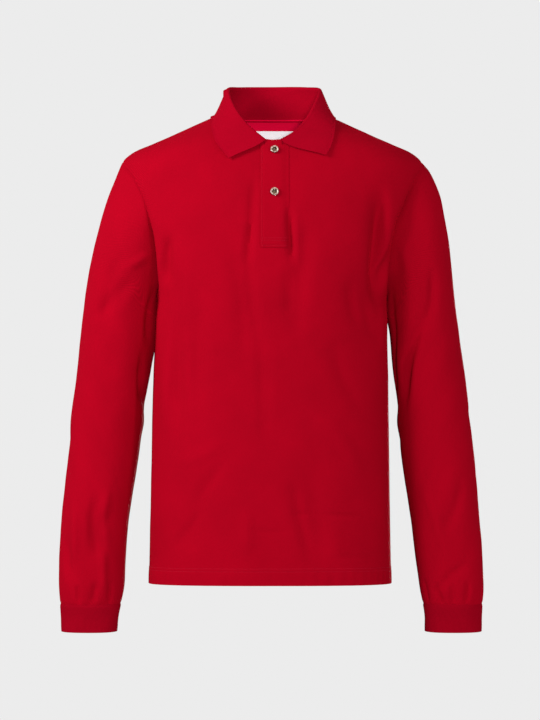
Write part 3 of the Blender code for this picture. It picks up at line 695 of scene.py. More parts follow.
@dataclass(frozen=True)
class MarbledShell(Finish):
    """Turned and polished button of mother-of-pearl look: a pale, streaked face round a smoky eye.

    The map holds metres from the button's axis, so that the eye and the painted shade at the outer edge follow
    its turning. The face runs from tan over blush to rim, and the eye from a smoky brown over shade and colour
    to honey.
    """

    honey: str = "#C4A472"
    rim: str = "#E6D3C5"
    blush: str = "#B4877A"
    tan: str = "#664638"
    smoke_and_edge_shade: str = "#140F0B"
    eye: float = 0.0036
    eye_raggedness: float = 0.005
    # where the outer edge's painted shade begins
    edge: float = 0.0054
    swirl: float = 0.0024

    def material(self) -> Material:
        """Marbling from warped noise, dark inside a ragged eye, with painted shade at the outer edge, and a
        clear polish.
        """
        made, shader, spread = self.start(
            {"Roughness": 0.16, "IOR": 1.53, "Coat Weight": 0.8, "Coat Roughness": 0.05}
        )
        tree = made.node_tree
        scale = 1 / self.swirl
        warp = add_node(
            tree,
            "TexNoise",
            {"Vector": spread, "Scale": scale, "Detail": 4.0, "Roughness": 0.62, "Distortion": 1.6},
        )
        ramp = add_node(tree, "ValToRGB", {0: warp.outputs[0]})
        stops = ramp.color_ramp.elements
        stops[0].position, stops[0].color = 0.36, linear(self.smoke_and_edge_shade)
        stops[1].position, stops[1].color = 0.66, linear(self.honey)
        for place, colour in ((0.46, self.shade), (0.55, self.colour)):
            stops.new(place).color = linear(colour)
        pearl = add_node(tree, "ValToRGB", {0: warp.outputs[0]})
        bands = pearl.color_ramp.elements
        bands[0].position, bands[0].color = 0.38, linear(self.tan)
        bands[1].position, bands[1].color = 0.58, linear(self.rim)
        bands.new(0.47).color = linear(self.blush)
        radius = add_node(tree, "VectorMath", {0: spread}, operation="LENGTH")
        ragged = calc(tree, "MULTIPLY_ADD", warp.outputs[0], self.eye_raggedness, radius.outputs["Value"])
        inside = add_node(tree, "MapRange", {0: ragged, 1: self.eye + 0.0022, 2: self.eye + 0.003})
        face = blend(tree, inside.outputs[0], ramp.outputs[0], pearl.outputs[0])
        # painted shade: the outer edge turns smoky brown, standing for the dark ring of shadow round the
        # button
        outer = add_node(
            tree, "MapRange", {0: radius.outputs["Value"], 1: self.edge - 0.0002, 2: self.edge + 0.0003}
        )
        face = blend(tree, outer.outputs[0], face, linear(self.smoke_and_edge_shade))
        tree.links.new(face, shader.inputs["Base Color"])
        return made


PIQUE = CottonKnit("cotton pique, piece-dyed red", "#9C0018", "#820011")
RIB = RibKnit("flat-knitted cotton rib, dyed red", "#9F001D", "#820012", pitch=0.0017, relief=0.0003)
# painted shade: the cuff rib is the collar's rib made darker, for the shade that falls low on the sleeves, not
# a tighter knit
SHADED_CUFF_RIB = RibKnit("tight cotton cuff rib, dyed red", "#900017", "#780010", pitch=0.0017, relief=0.0003)
# painted light: the neck tape is the shirt's red made much brighter, for the front light that reaches it
# inside the neck
LIT_TAPE = CottonKnit("jersey neck tape, dyed red and pressed", "#F2063C", "#DE0434", pitch=0.0009, relief=0.0001)
LABEL = WovenLabel("satin-woven white label", "#FBFAF8", "#EFEDEA")
RED_THREAD = SewingThread("spun polyester thread, red", "#C41434", "#94041C")
PALE_THREAD = SewingThread("spun polyester thread, taupe", "#9A8870", "#5E5040")
SHELL = MarbledShell("polished marbled button", "#54432A", "#1F170E")


# --- Making meshes
def grid_mesh(name: str, points: Array, spread: Array, around: bool = False) -> Mesh:
    """A mesh of quads through a grid of points.

    Args:
        name: the mesh's name.
        points: rows by columns by three.
        spread: the map in metres, rows by columns by two, with one more column if `around`.
        around: whether the last column meets the first.

    Returns:
        The mesh, with its map in the layer "cloth".
    """
    rows, columns = points.shape[:2]
    index = np.arange(rows * columns).reshape(rows, columns)
    if around:
        index = np.hstack([index, index[:, :1]])
    flat = np.arange(spread.shape[0] * spread.shape[1]).reshape(spread.shape[:2])

    def corners(grid: Array) -> Array:
        """The four corners of every quad of a grid of numbers."""
        return np.stack([grid[:-1, :-1], grid[:-1, 1:], grid[1:, 1:], grid[1:, :-1]], -1).reshape(-1, 4)

    mesh = bpy.data.meshes.new(name)
    mesh.from_pydata(points.reshape(-1, 3).tolist(), [], corners(index).tolist())
    layer = mesh.uv_layers.new(name="cloth")
    layer.data.foreach_set("uv", spread.reshape(-1, 2)[corners(flat)].astype(np.float32).ravel())
    mesh.shade_smooth()
    return mesh


def place_piece(name: str, mesh: Mesh, finish: Material) -> Object:
    """Links a mesh as a piece that rides on the shirt.

    Args:
        name: the piece's name.
        mesh: its mesh, in place.
        finish: its material.

    Returns:
        The piece.
    """
    mesh.materials.append(finish)
    piece = bpy.data.objects.new(name, mesh)
    bpy.context.scene.collection.objects.link(piece)
    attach(piece, "root")
    return piece


def give_wall(piece: Object, wall: float, thick_rows: Array | None = None) -> None:
    """Gives an open surface its wall on both sides, and rounds the cut edges.

    Args:
        piece: the open surface.
        wall: the thickness of the single cloth.
        thick_rows: for each vertex, how many layers of cloth lie there, from 1 to 2; none means one.
    """
    solid = piece.modifiers.new("wall", "SOLIDIFY")
    solid.offset = 0
    solid.use_quality_normals = True
    solid.thickness = wall
    if thick_rows is not None:
        solid.thickness = wall * 2
        layers = piece.vertex_groups.new(name="layers")
        levels = np.round(thick_rows * 8) / 16
        for level in np.unique(levels):
            layers.add(np.flatnonzero(levels == level).tolist(), float(level), "REPLACE")
        solid.vertex_group = "layers"
    edge = piece.modifiers.new("edge", "BEVEL")
    edge.width = wall * 0.3
    edge.segments = 2
    edge.limit_method = "ANGLE"
    edge.angle_limit = math.radians(60)
    edge.harden_normals = True


@dataclass(frozen=True)
class Stitch:
    """One lockstitch as it shows: a short bar of thread that dips into the cloth at both ends.

    Real sewing thread is too fine to show in the render, so it is drawn about twice as thick, with as few
    sides and rings as still look round.
    """

    length: float = 0.0024
    gap: float = 0.0007
    radius: float = 0.00026
    sides: int = 5
    rings: int = 4

    def along(self, name: str, path: Array, normals: Array) -> Mesh:
        """Stitches at equal steps along a path on the cloth.

        The bar is a tube round the path's direction, whose radius is that of a flattened arch: its rings
        follow a half sine, low at both ends. Every bar is that tube, set on its own frame of three axes.

        Args:
            name: the mesh's name.
            path: points along the seam, on the cloth's outer face.
            normals: the cloth's outward direction at those points.

        Returns:
            One mesh that holds all of the bars.
        """
        run = run_along(path, 0)
        count = max(int(run[-1] / (self.length + self.gap)), 1)
        at = (np.arange(count) + 0.5) * run[-1] / count
        centre = np.stack([np.interp(at, run, path[:, k]) for k in range(3)], -1)
        out = unit(np.stack([np.interp(at, run, normals[:, k]) for k in range(3)], -1))
        ahead = np.stack([np.interp(at + 1e-4, run, path[:, k]) for k in range(3)], -1)
        behind = np.stack([np.interp(at - 1e-4, run, path[:, k]) for k in range(3)], -1)
        ahead = unit(ahead - behind)
        aside = unit(np.cross(out, ahead))
        out = np.cross(ahead, aside)

        t = np.linspace(0, 1, self.rings)
        arch = np.sin(np.pi * t)
        turn = np.arange(self.sides) * math.tau / self.sides
        girth = self.radius * (0.45 + 0.55 * arch)
        local = np.stack(
            [
                np.broadcast_to(((t - 0.5) * self.length)[:, None], (self.rings, self.sides)),
                girth[:, None] * np.cos(turn),
                (self.radius * (1.1 * arch - 0.7))[:, None] + girth[:, None] * np.sin(turn),
            ],
            -1,
        ).reshape(-1, 3)
        axes = np.stack([ahead, aside, out], 1)
        points = centre[:, None] + np.einsum("vk,nkd->nvd", local, axes)
        ring = np.arange(self.rings * self.sides).reshape(self.rings, self.sides)
        ring = np.hstack([ring, ring[:, :1]])
        sides = np.stack([ring[:-1, :-1], ring[:-1, 1:], ring[1:, 1:], ring[1:, :-1]], -1).reshape(-1, 4)
        per = self.rings * self.sides
        shift = (np.arange(count) * per)[:, None, None]
        quads = (sides[None] + shift).reshape(-1, 4)
        caps = np.stack([ring[0, :-1][::-1], ring[-1, :-1]])
        ends = (caps[None] + shift).reshape(-1, self.sides)

        mesh = bpy.data.meshes.new(name)
        mesh.from_pydata(points.reshape(-1, 3).tolist(), [], quads.tolist() + ends.tolist())
        layer = mesh.uv_layers.new(name="cloth")
        corner = np.empty(len(mesh.loops), np.int32)
        mesh.loops.foreach_get("vertex_index", corner)
        spread = np.tile(local[:, :2], (count, 1)) + np.repeat(at, per)[:, None] * [1, 0]
        layer.data.foreach_set("uv", spread[corner].astype(np.float32).ravel())
        mesh.shade_smooth()
        return mesh


@dataclass(frozen=True)
class Materials:
    """The made materials, one for each finish."""

    pique: Material
    rib: Material
    # the cuff rib, darker by painted shade
    cuff: Material
    # the neck tape, brighter by painted light
    tape: Material
    label: Material
    red_thread: Material
    pale_thread: Material
    button: Material


# --- Sub-assemblies
@dataclass
class Panels:
    """The front and back panels: hem to neckline, side seam to side seam.

    Flat is the width, length and area of the cloth of each panel as it shows; it is not used. Flap is how far
    the back panel runs on under its neighbours.
    """

    body: Body
    finishes: Materials
    columns: int = 150
    hem_depth: float = 0.024
    stitch_gap: float = 0.0041
    groove_depth: float = 0.00038
    groove_width: float = 0.0011
    pucker: float = 0.0003
    seam_ease: float = 0.014
    roll_depth: float = 0.0006
    roll_width: float = 0.002
    flap: float = 0.005
    flap_drop: float = 0.0015
    flat: dict[Face, tuple[float, float, float]] = field(
        default_factory=lambda: {Face.FRONT: (0.475, 0.722, 0.3), Face.BACK: (0.47, 0.724, 0.308)}
    )
    front_creases: tuple[Crease, ...] = (
        Crease((-0.19, -0.085), (-0.16, -0.17), 0.0055, 0.003, bow=0.004),
        Crease((0.0236, -0.14), (0.0282, -0.215), 0.0036, -0.0058, skew=0.3),
        Crease((0.033, -0.15), (0.037, -0.23), 0.006, 0.0019),
        Crease((-0.023, -0.095), (-0.029, -0.18), 0.005, -0.003, bow=0.002),
        Crease((-0.0308, -0.16), (-0.035, -0.22), 0.0038, -0.0054),
        Crease((-0.034, -0.205), (-0.018, -0.33), 0.0055, -0.0033, bow=0.003, skew=-0.3),
        Crease((-0.018, -0.315), (-0.0112, -0.47), 0.006, -0.0027, bow=-0.002),
        Crease((-0.006, -0.3), (0.002, -0.43), 0.008, 0.001),
        Crease((0.0223, -0.23), (0.0223, -0.296), 0.005, -0.0019),
        Crease((-0.1175, -0.21), (-0.1187, -0.42), 0.01, 0.0034, bow=0.003),
        Crease((-0.1355, -0.295), (-0.1366, -0.425), 0.01, -0.0032, bow=-0.002),
        Crease((-0.1009, -0.255), (-0.102, -0.44), 0.0115, -0.0036, bow=0.004),
        Crease((-0.146, -0.178), (-0.149, -0.248), 0.0088, -0.0085, bow=0.003),
        Crease((-0.156, -0.25), (-0.1563, -0.434), 0.007, 0.0029),
        Crease((0.1545, -0.12), (0.1505, -0.278), 0.011, -0.019, skew=0.2),
        Crease((0.1585, -0.265), (0.156, -0.345), 0.006, 0.0033),
        Crease((0.1094, -0.245), (0.12, -0.305), 0.007, -0.0032, bow=0.003),
        Crease((0.085, -0.33), (0.13, -0.43), 0.01, -0.0021, bow=0.006),
        Crease((-0.064, -0.495), (-0.105, -0.57), 0.008, -0.002, bow=0.004, skew=0.3),
        Crease((-0.098, -0.56), (-0.146, -0.625), 0.008, -0.0018, bow=-0.004),
        Crease((-0.08, -0.53), (-0.12, -0.595), 0.007, 0.0012, bow=0.004),
        Crease((0.03, -0.52), (0.053, -0.63), 0.007, -0.0029, bow=0.003),
        Crease((-0.035, -0.565), (-0.035, -0.63), 0.007, 0.0024),
        Crease((0.029, -0.57), (0.057, -0.5712), 0.0022, -0.0014),
        Crease((0.071, -0.5708), (0.137, -0.573), 0.0024, -0.0016, bow=0.001),
        Crease((0.092, -0.631), (0.149, -0.635), 0.0024, -0.0014, bow=-0.001),
        Crease((-0.03, -0.59), (0.02, -0.596), 0.0026, -0.001, bow=0.002),
        Crease((-0.13, -0.5), (-0.07, -0.47), 0.009, 0.0016, bow=0.003),
        Crease((0.06, -0.43), (0.125, -0.51), 0.011, 0.0021, bow=-0.006),
    )
    back_creases: tuple[Crease, ...] = (
        Crease((-0.07, -0.05), (-0.125, -0.15), 0.009, -0.0033, bow=0.006),
        Crease((0.076, -0.056), (0.13, -0.16), 0.009, -0.0032, bow=-0.007),
        Crease((0.01, -0.09), (-0.006, -0.25), 0.012, -0.0027, bow=0.004),
        Crease((-0.118, -0.17), (-0.08, -0.33), 0.008, -0.0039, bow=-0.006, skew=0.3),
        Crease((0.122, -0.19), (0.09, -0.37), 0.008, -0.0036, bow=0.006),
        Crease((-0.05, -0.33), (-0.034, -0.49), 0.009, -0.0033, bow=0.005),
        Crease((0.038, -0.36), (0.046, -0.55), 0.01, 0.0032, bow=-0.004),
        Crease((0.064, -0.43), (0.096, -0.58), 0.008, -0.0036, bow=0.006),
        Crease((-0.09, -0.45), (-0.12, -0.58), 0.009, -0.0033, bow=-0.004),
        Crease((-0.01, -0.5), (-0.002, -0.62), 0.008, -0.0024, bow=0.003),
        Crease((0.13, -0.26), (0.14, -0.36), 0.007, -0.0032),
        Crease((-0.137, -0.25), (-0.144, -0.34), 0.007, -0.0029),
        Crease((-0.07, -0.575), (-0.01, -0.579), 0.0026, -0.0013, bow=0.001),
        Crease((0.02, -0.605), (0.08, -0.6), 0.0026, -0.0013),
    )

    def rise(self, x: Array, height: Array, face: Face) -> Array:
        """The creases' lift and the cloth's slight unevenness at this x and height of a panel."""
        creases = self.front_creases if face is Face.FRONT else self.back_creases
        return crease_rise(creases, x, height) + ripple(x * face.value, height, 0.00022)

    def base_grid(self, face: Face) -> tuple[Array, Array]:
        """The panel's smooth form, from the hem up.

        Columns run in even shares of the panel, drawn together towards both edges by a sine. Rows start
        close together at the hem's fold and stitches, run evenly to the underarm, and close up again
        towards the neckline and shoulders by a power.

        Args:
            face: which panel.

        Returns:
            The points, and the signed share of the panel's half width of each column.
        """
        body = self.body
        even = np.linspace(-1, 1, self.columns + 1)
        shares = 0.42 * even + 0.58 * np.sin(even * math.pi / 2)
        side, share = np.where(shares < 0, -1, 1), np.abs(shares)
        around = 90 * shares if face is Face.FRONT else side * (180 - 90 * share)
        hem = body.hem + body.hem_rise * np.cos(np.radians(90 * shares))
        deep = self.hem_depth
        close = np.array([0, 0.0007, 0.0018, 0.0035, 0.0065, 0.01, 0.0135, 0.0165])
        stitched = deep + np.array(
            [-0.006, -0.005, -0.0041, -0.0032, -0.0022, -0.001, 0, 0.001, 0.0021, 0.0035]
        )
        rise = np.concatenate([close, stitched, [deep + 0.006]])
        heights = [hem + step for step in rise]
        heights += [
            hem + rise[-1] + (body.underarm - hem - rise[-1]) * climb for climb in np.linspace(0, 1, 112)[1:]
        ]
        low = body.point(around, np.array(heights))
        low[..., 1] -= face.value * body.seam / 2

        top_x, top_height = body.top_edge(share, face)
        squareness = body.section(np.array(body.underarm))[5]
        low_share = np.abs(np.sin(np.radians(90 * share))) ** (2 / squareness)
        climb = (1 - (1 - np.linspace(0, 1, 76)[1:]) ** 1.35)[:, None]
        turn = np.degrees(np.arccos(np.clip(2 * climb - 1, -1, 1)))
        edge_x = np.where(
            side > 0,
            body.armhole(face.value * turn, Side.LEFT)[0],
            -body.armhole(face.value * turn, Side.RIGHT)[0],
        )
        x = side * edge_x * (low_share + (top_x / top_x[-1] - low_share) * climb)
        high = body.panel_point(x, body.underarm + (top_height - body.underarm) * climb, face)
        return np.concatenate([low, high]), shares

    def grid(self, face: Face) -> tuple[Array, Array, Array]:
        """The dressed panel: creases, seams rolled under along the edges, and the hem's stitch grooves.

        Every lift is along the grid's normal. Seams sink by a bell of the distance from the edge; the two
        grooves of the hem's stitches are narrow bells of the distance from the hem, and the stitches draw
        the turned hem into a fine wave. Towards the armholes in front the cloth sinks into their valleys.

        Args:
            face: which panel.

        Returns:
            Points, the map in metres, and the number of layers of cloth at each point.
        """
        points, shares = self.base_grid(face)
        normal = face.value * grid_normals(points)
        across, up = run_along(points, 1), run_along(points, 0)
        side_gap = np.minimum(across, across[:, -1:] - across)
        top_gap = up[-1] - up
        middle = points.shape[1] // 2
        spread = np.stack([across - across[:, middle : middle + 1], up], -1)
        ease = 1 - bell(side_gap, self.seam_ease)
        neck = np.abs(shares) < self.body.neck_share
        lift = self.rise(points[..., 0], points[..., 2], face) * ease * (1 - bell(top_gap, 0.01))
        lift -= self.roll_depth * bell(side_gap, self.roll_width)
        lift -= np.where(neck, 0, self.roll_depth) * bell(top_gap, self.roll_width)
        if face is Face.FRONT:
            turn = self.body.armhole_turn(points[..., 2])
            for side in Side:
                near = (np.sign(points[..., 0]) == side.value) & (points[..., 2] > self.body.underarm)
                lift -= near * self.body.valley(side, turn) * self.body.beside_valley(side_gap)
        for line in self.stitch_lines():
            lift -= self.groove_depth * bell(up - line, self.groove_width)
        wave = np.sin(spread[..., 0] * 410 + 3 * np.sin(spread[..., 0] * 37))
        lift += self.pucker * wave * bell(up - 0.01, 0.012)
        points = points + normal * lift[..., None]
        layers = 1 + 1 / (1 + np.exp((up - self.hem_depth - 0.0005) / 0.0006))
        return points, spread, layers

    def stitch_lines(self) -> tuple[float, float]:
        """How far above the hem its two rows of stitches run."""
        return self.hem_depth, self.hem_depth - self.stitch_gap

    def tuck(self, points: Array, normal: Array, share: Array) -> Array:
        """Runs the back panel on under its neighbours as seam allowances, a little inside the cloth.

        Args:
            points: the panel's grid.
            normal: its outward direction at each point.
            share: the signed share of the half width of each column.

        Returns:
            The grid with three more columns on each side and three more rows at the top.
        """
        steps = np.array([0.0008, 0.3, 1.0])
        steps = steps * [1, self.flap, self.flap]
        wide = []
        for edge, inner in ((0, 1), (-1, -2)):
            run = unit(points[:, edge] - points[:, inner])
            below = points[-1, edge, 2] - points[:, edge, 2]
            reach = 0.1 + 0.9 * np.clip(below / 0.04, 0, 1)[:, None]
            wide.append(
                points[:, edge, None]
                + (run * reach)[:, None] * steps[:, None]
                - normal[:, edge, None] * self.flap_drop
            )
        points = np.concatenate([wide[0][:, ::-1], points, wide[1]], 1)
        normal = np.concatenate([normal[:, :1]] * 3 + [normal] + [normal[:, -1:]] * 3, 1)
        share = np.concatenate([share[:1]] * 3 + [share] + [share[-1:]] * 3)
        run = unit(points[-1] - points[-2])
        reach = np.where(np.abs(share) < self.body.neck_share + 0.02, 0.1, 1)[:, None]
        drop = normal[-1] * self.flap_drop * reach
        high = [points[-1] + run * step * reach - drop for step in steps]
        return np.concatenate([points, np.array(high)])

    def build(self) -> list[Object]:
        """Builds both panels and the two stitch rows of each hem."""
        made = []
        for face in Face:
            name = face.name.lower()
            points, spread, layers = self.grid(face)
            normal = face.value * grid_normals(points)
            climb = spread[:, self.columns // 2, 1]
            for number, line in enumerate(self.stitch_lines()):
                row = int(np.argmin(np.abs(climb - line)))
                path = points[row] + normal[row] * (self.body.cloth + 0.00012)
                mesh = Stitch().along(f"{name}_hem_stitches_{number}", path, normal[row])
                made.append(place_piece(mesh.name, mesh, self.finishes.red_thread))
            if face is Face.BACK:
                shares = self.base_grid(face)[1]
                points = self.tuck(points, normal, shares)
                spread = np.pad(spread, ((0, 3), (3, 3), (0, 0)), mode="edge")
                layers = np.pad(layers, ((0, 3), (3, 3)), mode="edge")
            mesh = grid_mesh(f"{name}_panel", points, spread)
            piece = place_piece(mesh.name, mesh, self.finishes.pique)
            give_wall(piece, self.body.cloth, layers.ravel())
            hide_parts(name)
            made.append(piece)
        return made


@dataclass
class Sleeves:
    """Both sleeves and their rib cuffs.

    Rings are (height, inner edge, outer edge, middle from front to back, half depth). Starts are (turn,
    outward, forward, down): the direction in which the sleeve sets off from the armhole.
    """

    body: Body
    finishes: Materials
    columns: int = 132
    ring_top: float = -0.3
    squareness: float = 2.3
    cuff_top: float = -0.7045
    rib_wall: float = 0.0016
    fold_radius: float = 0.05
    roll_depth: float = 0.0012
    roll_width: float = 0.0024
    tuck_depth: float = 0.0019
    flat: tuple[float, float, float] = (0.46, 0.655, 0.19)
    cuff_flat: tuple[float, float] = (0.228, 0.047)
    spread_out: dict[Side, float] = field(default_factory=lambda: {Side.LEFT: 1.0, Side.RIGHT: 0.72})
    starts: tuple[tuple[float, ...], ...] = (
        (0, 0.5, 0.0, 0.87),
        (90, 0.72, 0.1, 0.68),
        (180, 0.1, 0.0, 0.99),
        (270, 0.72, -0.1, 0.68),
        (360, 0.5, 0.0, 0.87),
    )
    rings: dict[Side, tuple[tuple[float, ...], ...]] = field(
        default_factory=lambda: {
            Side.LEFT: (
                (-0.3, 0.1705, 0.269, 0.003, 0.057),
                (-0.374, 0.177, 0.2795, 0.005, 0.055),
                (-0.444, 0.1838, 0.2882, 0.005, 0.052),
                (-0.513, 0.1912, 0.2948, 0.001, 0.048),
                (-0.583, 0.2015, 0.3, -0.007, 0.043),
                (-0.64, 0.208, 0.3038, -0.014, 0.037),
                (-0.688, 0.215, 0.3045, -0.02, 0.031),
                (-0.704, 0.218, 0.303, -0.022, 0.027),
                (-0.745, 0.221, 0.3015, -0.025, 0.023),
            ),
            Side.RIGHT: (
                (-0.3, 0.1705, 0.2755, 0.003, 0.057),
                (-0.374, 0.1775, 0.283, 0.005, 0.055),
                (-0.444, 0.188, 0.2925, 0.005, 0.052),
                (-0.513, 0.1975, 0.2975, 0.001, 0.048),
                (-0.583, 0.208, 0.3045, -0.007, 0.043),
                (-0.64, 0.212, 0.307, -0.014, 0.037),
                (-0.688, 0.215, 0.3065, -0.02, 0.031),
                (-0.704, 0.218, 0.305, -0.022, 0.027),
                (-0.745, 0.224, 0.303, -0.025, 0.023),
            ),
        }
    )
    left_folds: tuple[tuple[float, ...], ...] = (
        (100, -0.285, 150, -0.43, 0.01, -0.005),
        (150, -0.32, 140, -0.44, 0.01, 0.0025),
        (215, -0.34, 180, -0.45, 0.012, -0.005),
        (250, -0.42, 190, -0.48, 0.012, -0.004),
        (70, -0.64, 120, -0.69, 0.009, -0.003),
    )
    right_folds: tuple[tuple[float, ...], ...] = (
        (110, -0.225, 60, -0.3, 0.012, -0.0045),
        (130, -0.35, 170, -0.43, 0.011, -0.005),
        (215, -0.34, 180, -0.45, 0.012, -0.005),
        (110, -0.56, 95, -0.65, 0.01, -0.004),
        (40, -0.6, 60, -0.68, 0.01, -0.003),
    )
    left_creases: tuple[Crease, ...] = (
        Crease((180, -0.21), (180, -0.304), 0.033, 0.005),
        Crease((192, -0.4), (182, -0.46), 0.015, 0.0016),
        Crease((4, -0.056), (4, -0.142), 0.034, 0.003),
        Crease((109, -0.16), (109, -0.24), 0.008, 0.0033, bow=0.003),
        Crease((77, -0.225), (92, -0.31), 0.006, -0.0043, bow=0.003, skew=0.3),
        Crease((90, -0.29), (140, -0.425), 0.0065, -0.0045, bow=-0.004, skew=-0.3),
        Crease((108, -0.28), (121, -0.415), 0.009, 0.0032),
        Crease((146, -0.25), (175, -0.43), 0.006, -0.004, bow=0.003),
        Crease((121, -0.676), (109, -0.7035), 0.0045, -0.0039, taper=-0.4),
        Crease((92, -0.672), (90, -0.7035), 0.004, -0.0029),
        Crease((66, -0.67), (70, -0.7035), 0.0045, -0.0032),
        Crease((148, -0.668), (144, -0.7035), 0.0045, -0.0032),
        Crease((215, -0.672), (222, -0.7035), 0.005, -0.0036),
        Crease((258, -0.676), (256, -0.7035), 0.0045, -0.0032),
        Crease((300, -0.67), (296, -0.7035), 0.0045, -0.0033),
        Crease((20, -0.675), (24, -0.7035), 0.0045, -0.0029),
        Crease((60, -0.52), (100, -0.6), 0.008, -0.0032, bow=0.004),
        Crease((120, -0.54), (95, -0.64), 0.008, 0.0024, bow=0.003),
        Crease((270, -0.2), (240, -0.33), 0.009, -0.0048, bow=0.005),
        Crease((300, -0.33), (250, -0.42), 0.008, -0.0043, bow=-0.004),
        Crease((290, -0.52), (240, -0.62), 0.009, -0.0039, bow=0.004),
        Crease((10, -0.42), (-20, -0.52), 0.009, -0.0029, bow=0.004),
    )
    right_creases: tuple[Crease, ...] = (
        Crease((180, -0.23), (180, -0.354), 0.034, 0.005),
        Crease((192, -0.4), (182, -0.46), 0.015, 0.0014),
        Crease((88, -0.225), (134, -0.178), 0.0065, 0.0039, bow=0.003),
        Crease((76, -0.2), (78, -0.31), 0.01, -0.0034, bow=0.004),
        Crease((141, -0.245), (146, -0.33), 0.0055, -0.0043, bow=0.002),
        Crease((131, -0.335), (146, -0.415), 0.006, -0.004, bow=-0.003),
        Crease((106, -0.54), (115, -0.62), 0.0065, 0.0036, bow=0.003),
        Crease((91, -0.55), (97, -0.628), 0.006, -0.0039, bow=0.003),
        Crease((56, -0.565), (62, -0.645), 0.007, 0.0032, bow=-0.003),
        Crease((109, -0.625), (112, -0.69), 0.006, 0.0029),
        Crease((150, -0.15), (150, -0.255), 0.005, -0.004, bow=0.002),
        Crease((98, -0.672), (94, -0.7035), 0.0045, -0.0032),
        Crease((70, -0.676), (74, -0.7035), 0.004, -0.0027),
        Crease((124, -0.67), (126, -0.7035), 0.0045, -0.0032),
        Crease((212, -0.67), (216, -0.7035), 0.0045, -0.0033),
        Crease((250, -0.676), (246, -0.7035), 0.0045, -0.0029),
        Crease((292, -0.67), (296, -0.7035), 0.0045, -0.0033),
        Crease((345, -0.675), (340, -0.7035), 0.0045, -0.0029),
        Crease((270, -0.19), (238, -0.32), 0.009, -0.0045, bow=-0.004),
        Crease((304, -0.34), (252, -0.43), 0.008, -0.004, bow=0.004),
        Crease((282, -0.53), (236, -0.61), 0.009, -0.0039, bow=-0.004),
        Crease((14, -0.44), (-16, -0.53), 0.009, -0.0027, bow=-0.003),
    )

    def fold_rise(self, side: Side, turn: Array, height: Array) -> Array:
        """The lift of the folds that this sleeve's solid has too."""
        folds = self.left_folds if side is Side.LEFT else self.right_folds
        return fold_lift(folds, self.fold_radius, turn, height)

    def ring(self, side: Side, height: Array, turn: Array) -> Array:
        """The sleeve's level ring: a superellipse between its inner and outer edge, with its folds' lift.

        Args:
            side: which sleeve.
            height: the ring's height.
            turn: degrees round it, from its outer side forwards.

        Returns:
            The ring's points.
        """
        inner, outer, middle, half_depth = np.moveaxis(
            smooth_curve(np.array(self.rings[side]), height), -1, 0
        )
        rise = self.fold_rise(side, turn, height)
        out, ahead = np.cos(np.radians(turn)), np.sin(np.radians(turn))
        power = 2 / self.squareness
        x = (inner + outer) / 2 + (outer - inner) / 2 * np.sign(out) * np.abs(out) ** power + rise * out
        y = middle - half_depth * np.sign(ahead) * np.abs(ahead) ** power - rise * ahead
        return np.stack(np.broadcast_arrays(side.value * x, y, height), -1)

    def turns(self) -> Array:
        """The columns' turns, in degrees from the sleeve's outer edge towards the front."""
        return np.linspace(0, 360, self.columns, endpoint=False)

    def base_grid(self, side: Side) -> Array:
        """The sleeve's smooth form: one cubic from the armhole to the first ring, then the rings.

        Args:
            side: which sleeve.

        Returns:
            The points, in rows down the sleeve.
        """
        body, turn, sign = self.body, self.turns(), side.value
        outward, forward, down = np.moveaxis(smooth_curve(np.array(self.starts), turn), -1, 0)
        direction = unit(np.stack([sign * self.spread_out[side] * outward, -forward, -down], -1))
        across = body.across_armhole(turn, side)
        turned = np.sum(across * direction, axis=-1, keepdims=True)
        leave = 0.0001 + body.cloth / 2 * np.sqrt(1 - turned**2)
        start = body.armhole_point(turn, side) + across * leave
        start[:, 0] += sign * np.maximum(-turned[:, 0], 0) * (body.seam + body.cloth)
        end = self.ring(side, np.array(self.ring_top), turn)
        reach = np.linalg.norm(end - start, axis=-1, keepdims=True)
        fall = unit(self.ring(side, np.array(self.ring_top - body.probe), turn) - end)
        t = (np.linspace(0, 1, 58)[:-1] ** 1.35)[:, None, None]
        cap = bridge(start, end, reach * direction, reach * fall, t)
        rise = self.fold_rise(side, turn, cap[..., 2]) * t[..., 0]
        out, ahead = np.cos(np.radians(turn)), np.sin(np.radians(turn))
        cap = cap + rise[..., None] * np.stack([sign * out, -ahead, 0 * out], -1)
        even = np.linspace(0, 1, 118)
        heights = self.ring_top + (self.cuff_top + 0.0002 - self.ring_top) * (1 - (1 - even) ** 1.12)
        return np.concatenate([cap, self.ring(side, heights[:, None], turn)])

    def grid(self, side: Side) -> tuple[Array, Array]:
        """The dressed sleeve: creases along its normals, its top and bottom edges rolled into the seams.

        Args:
            side: which sleeve.

        Returns:
            Points and the map in metres, with the rows that tuck inside the armhole first.
        """
        points, turn = self.base_grid(side), self.turns()
        normal = side.value * grid_normals(points, around=True)
        along = run_along(points, 0)
        rest = along[-1] - along
        creases = self.left_creases if side is Side.LEFT else self.right_creases
        metres = math.radians(1) * self.fold_radius
        lift = crease_rise(creases, turn, points[..., 2], metres)
        lift += ripple(turn * metres, points[..., 2] * side.value, 0.00025)
        lift *= 1 - bell(along, 0.012)
        lift -= self.roll_depth * bell(along, self.roll_width) + 0.0009 * bell(rest, 0.0022)
        seam = np.radians(turn % 360 - 180) * self.fold_radius
        lift -= 0.001 * bell(seam, 0.0022)
        body = self.body
        edge = body.armhole_point(turn, side)
        inward = -unit(body.slope(edge))
        valley = body.valley(side, turn)
        sunk = inward * (valley * body.beside_valley(along))[..., None]
        points = points + normal * lift[..., None] + sunk
        inward = inward * (self.tuck_depth + valley)[:, None]
        across = body.across_armhole(turn, side)
        tucked = np.array([edge + inward - across * step for step in (0.0065, 0.0035, 0.0012)])
        points = np.concatenate([tucked, points])
        wide = np.concatenate([points, points[:, :1]], 1)
        return points, np.stack([run_along(wide, 1), run_along(wide, 0)], -1)

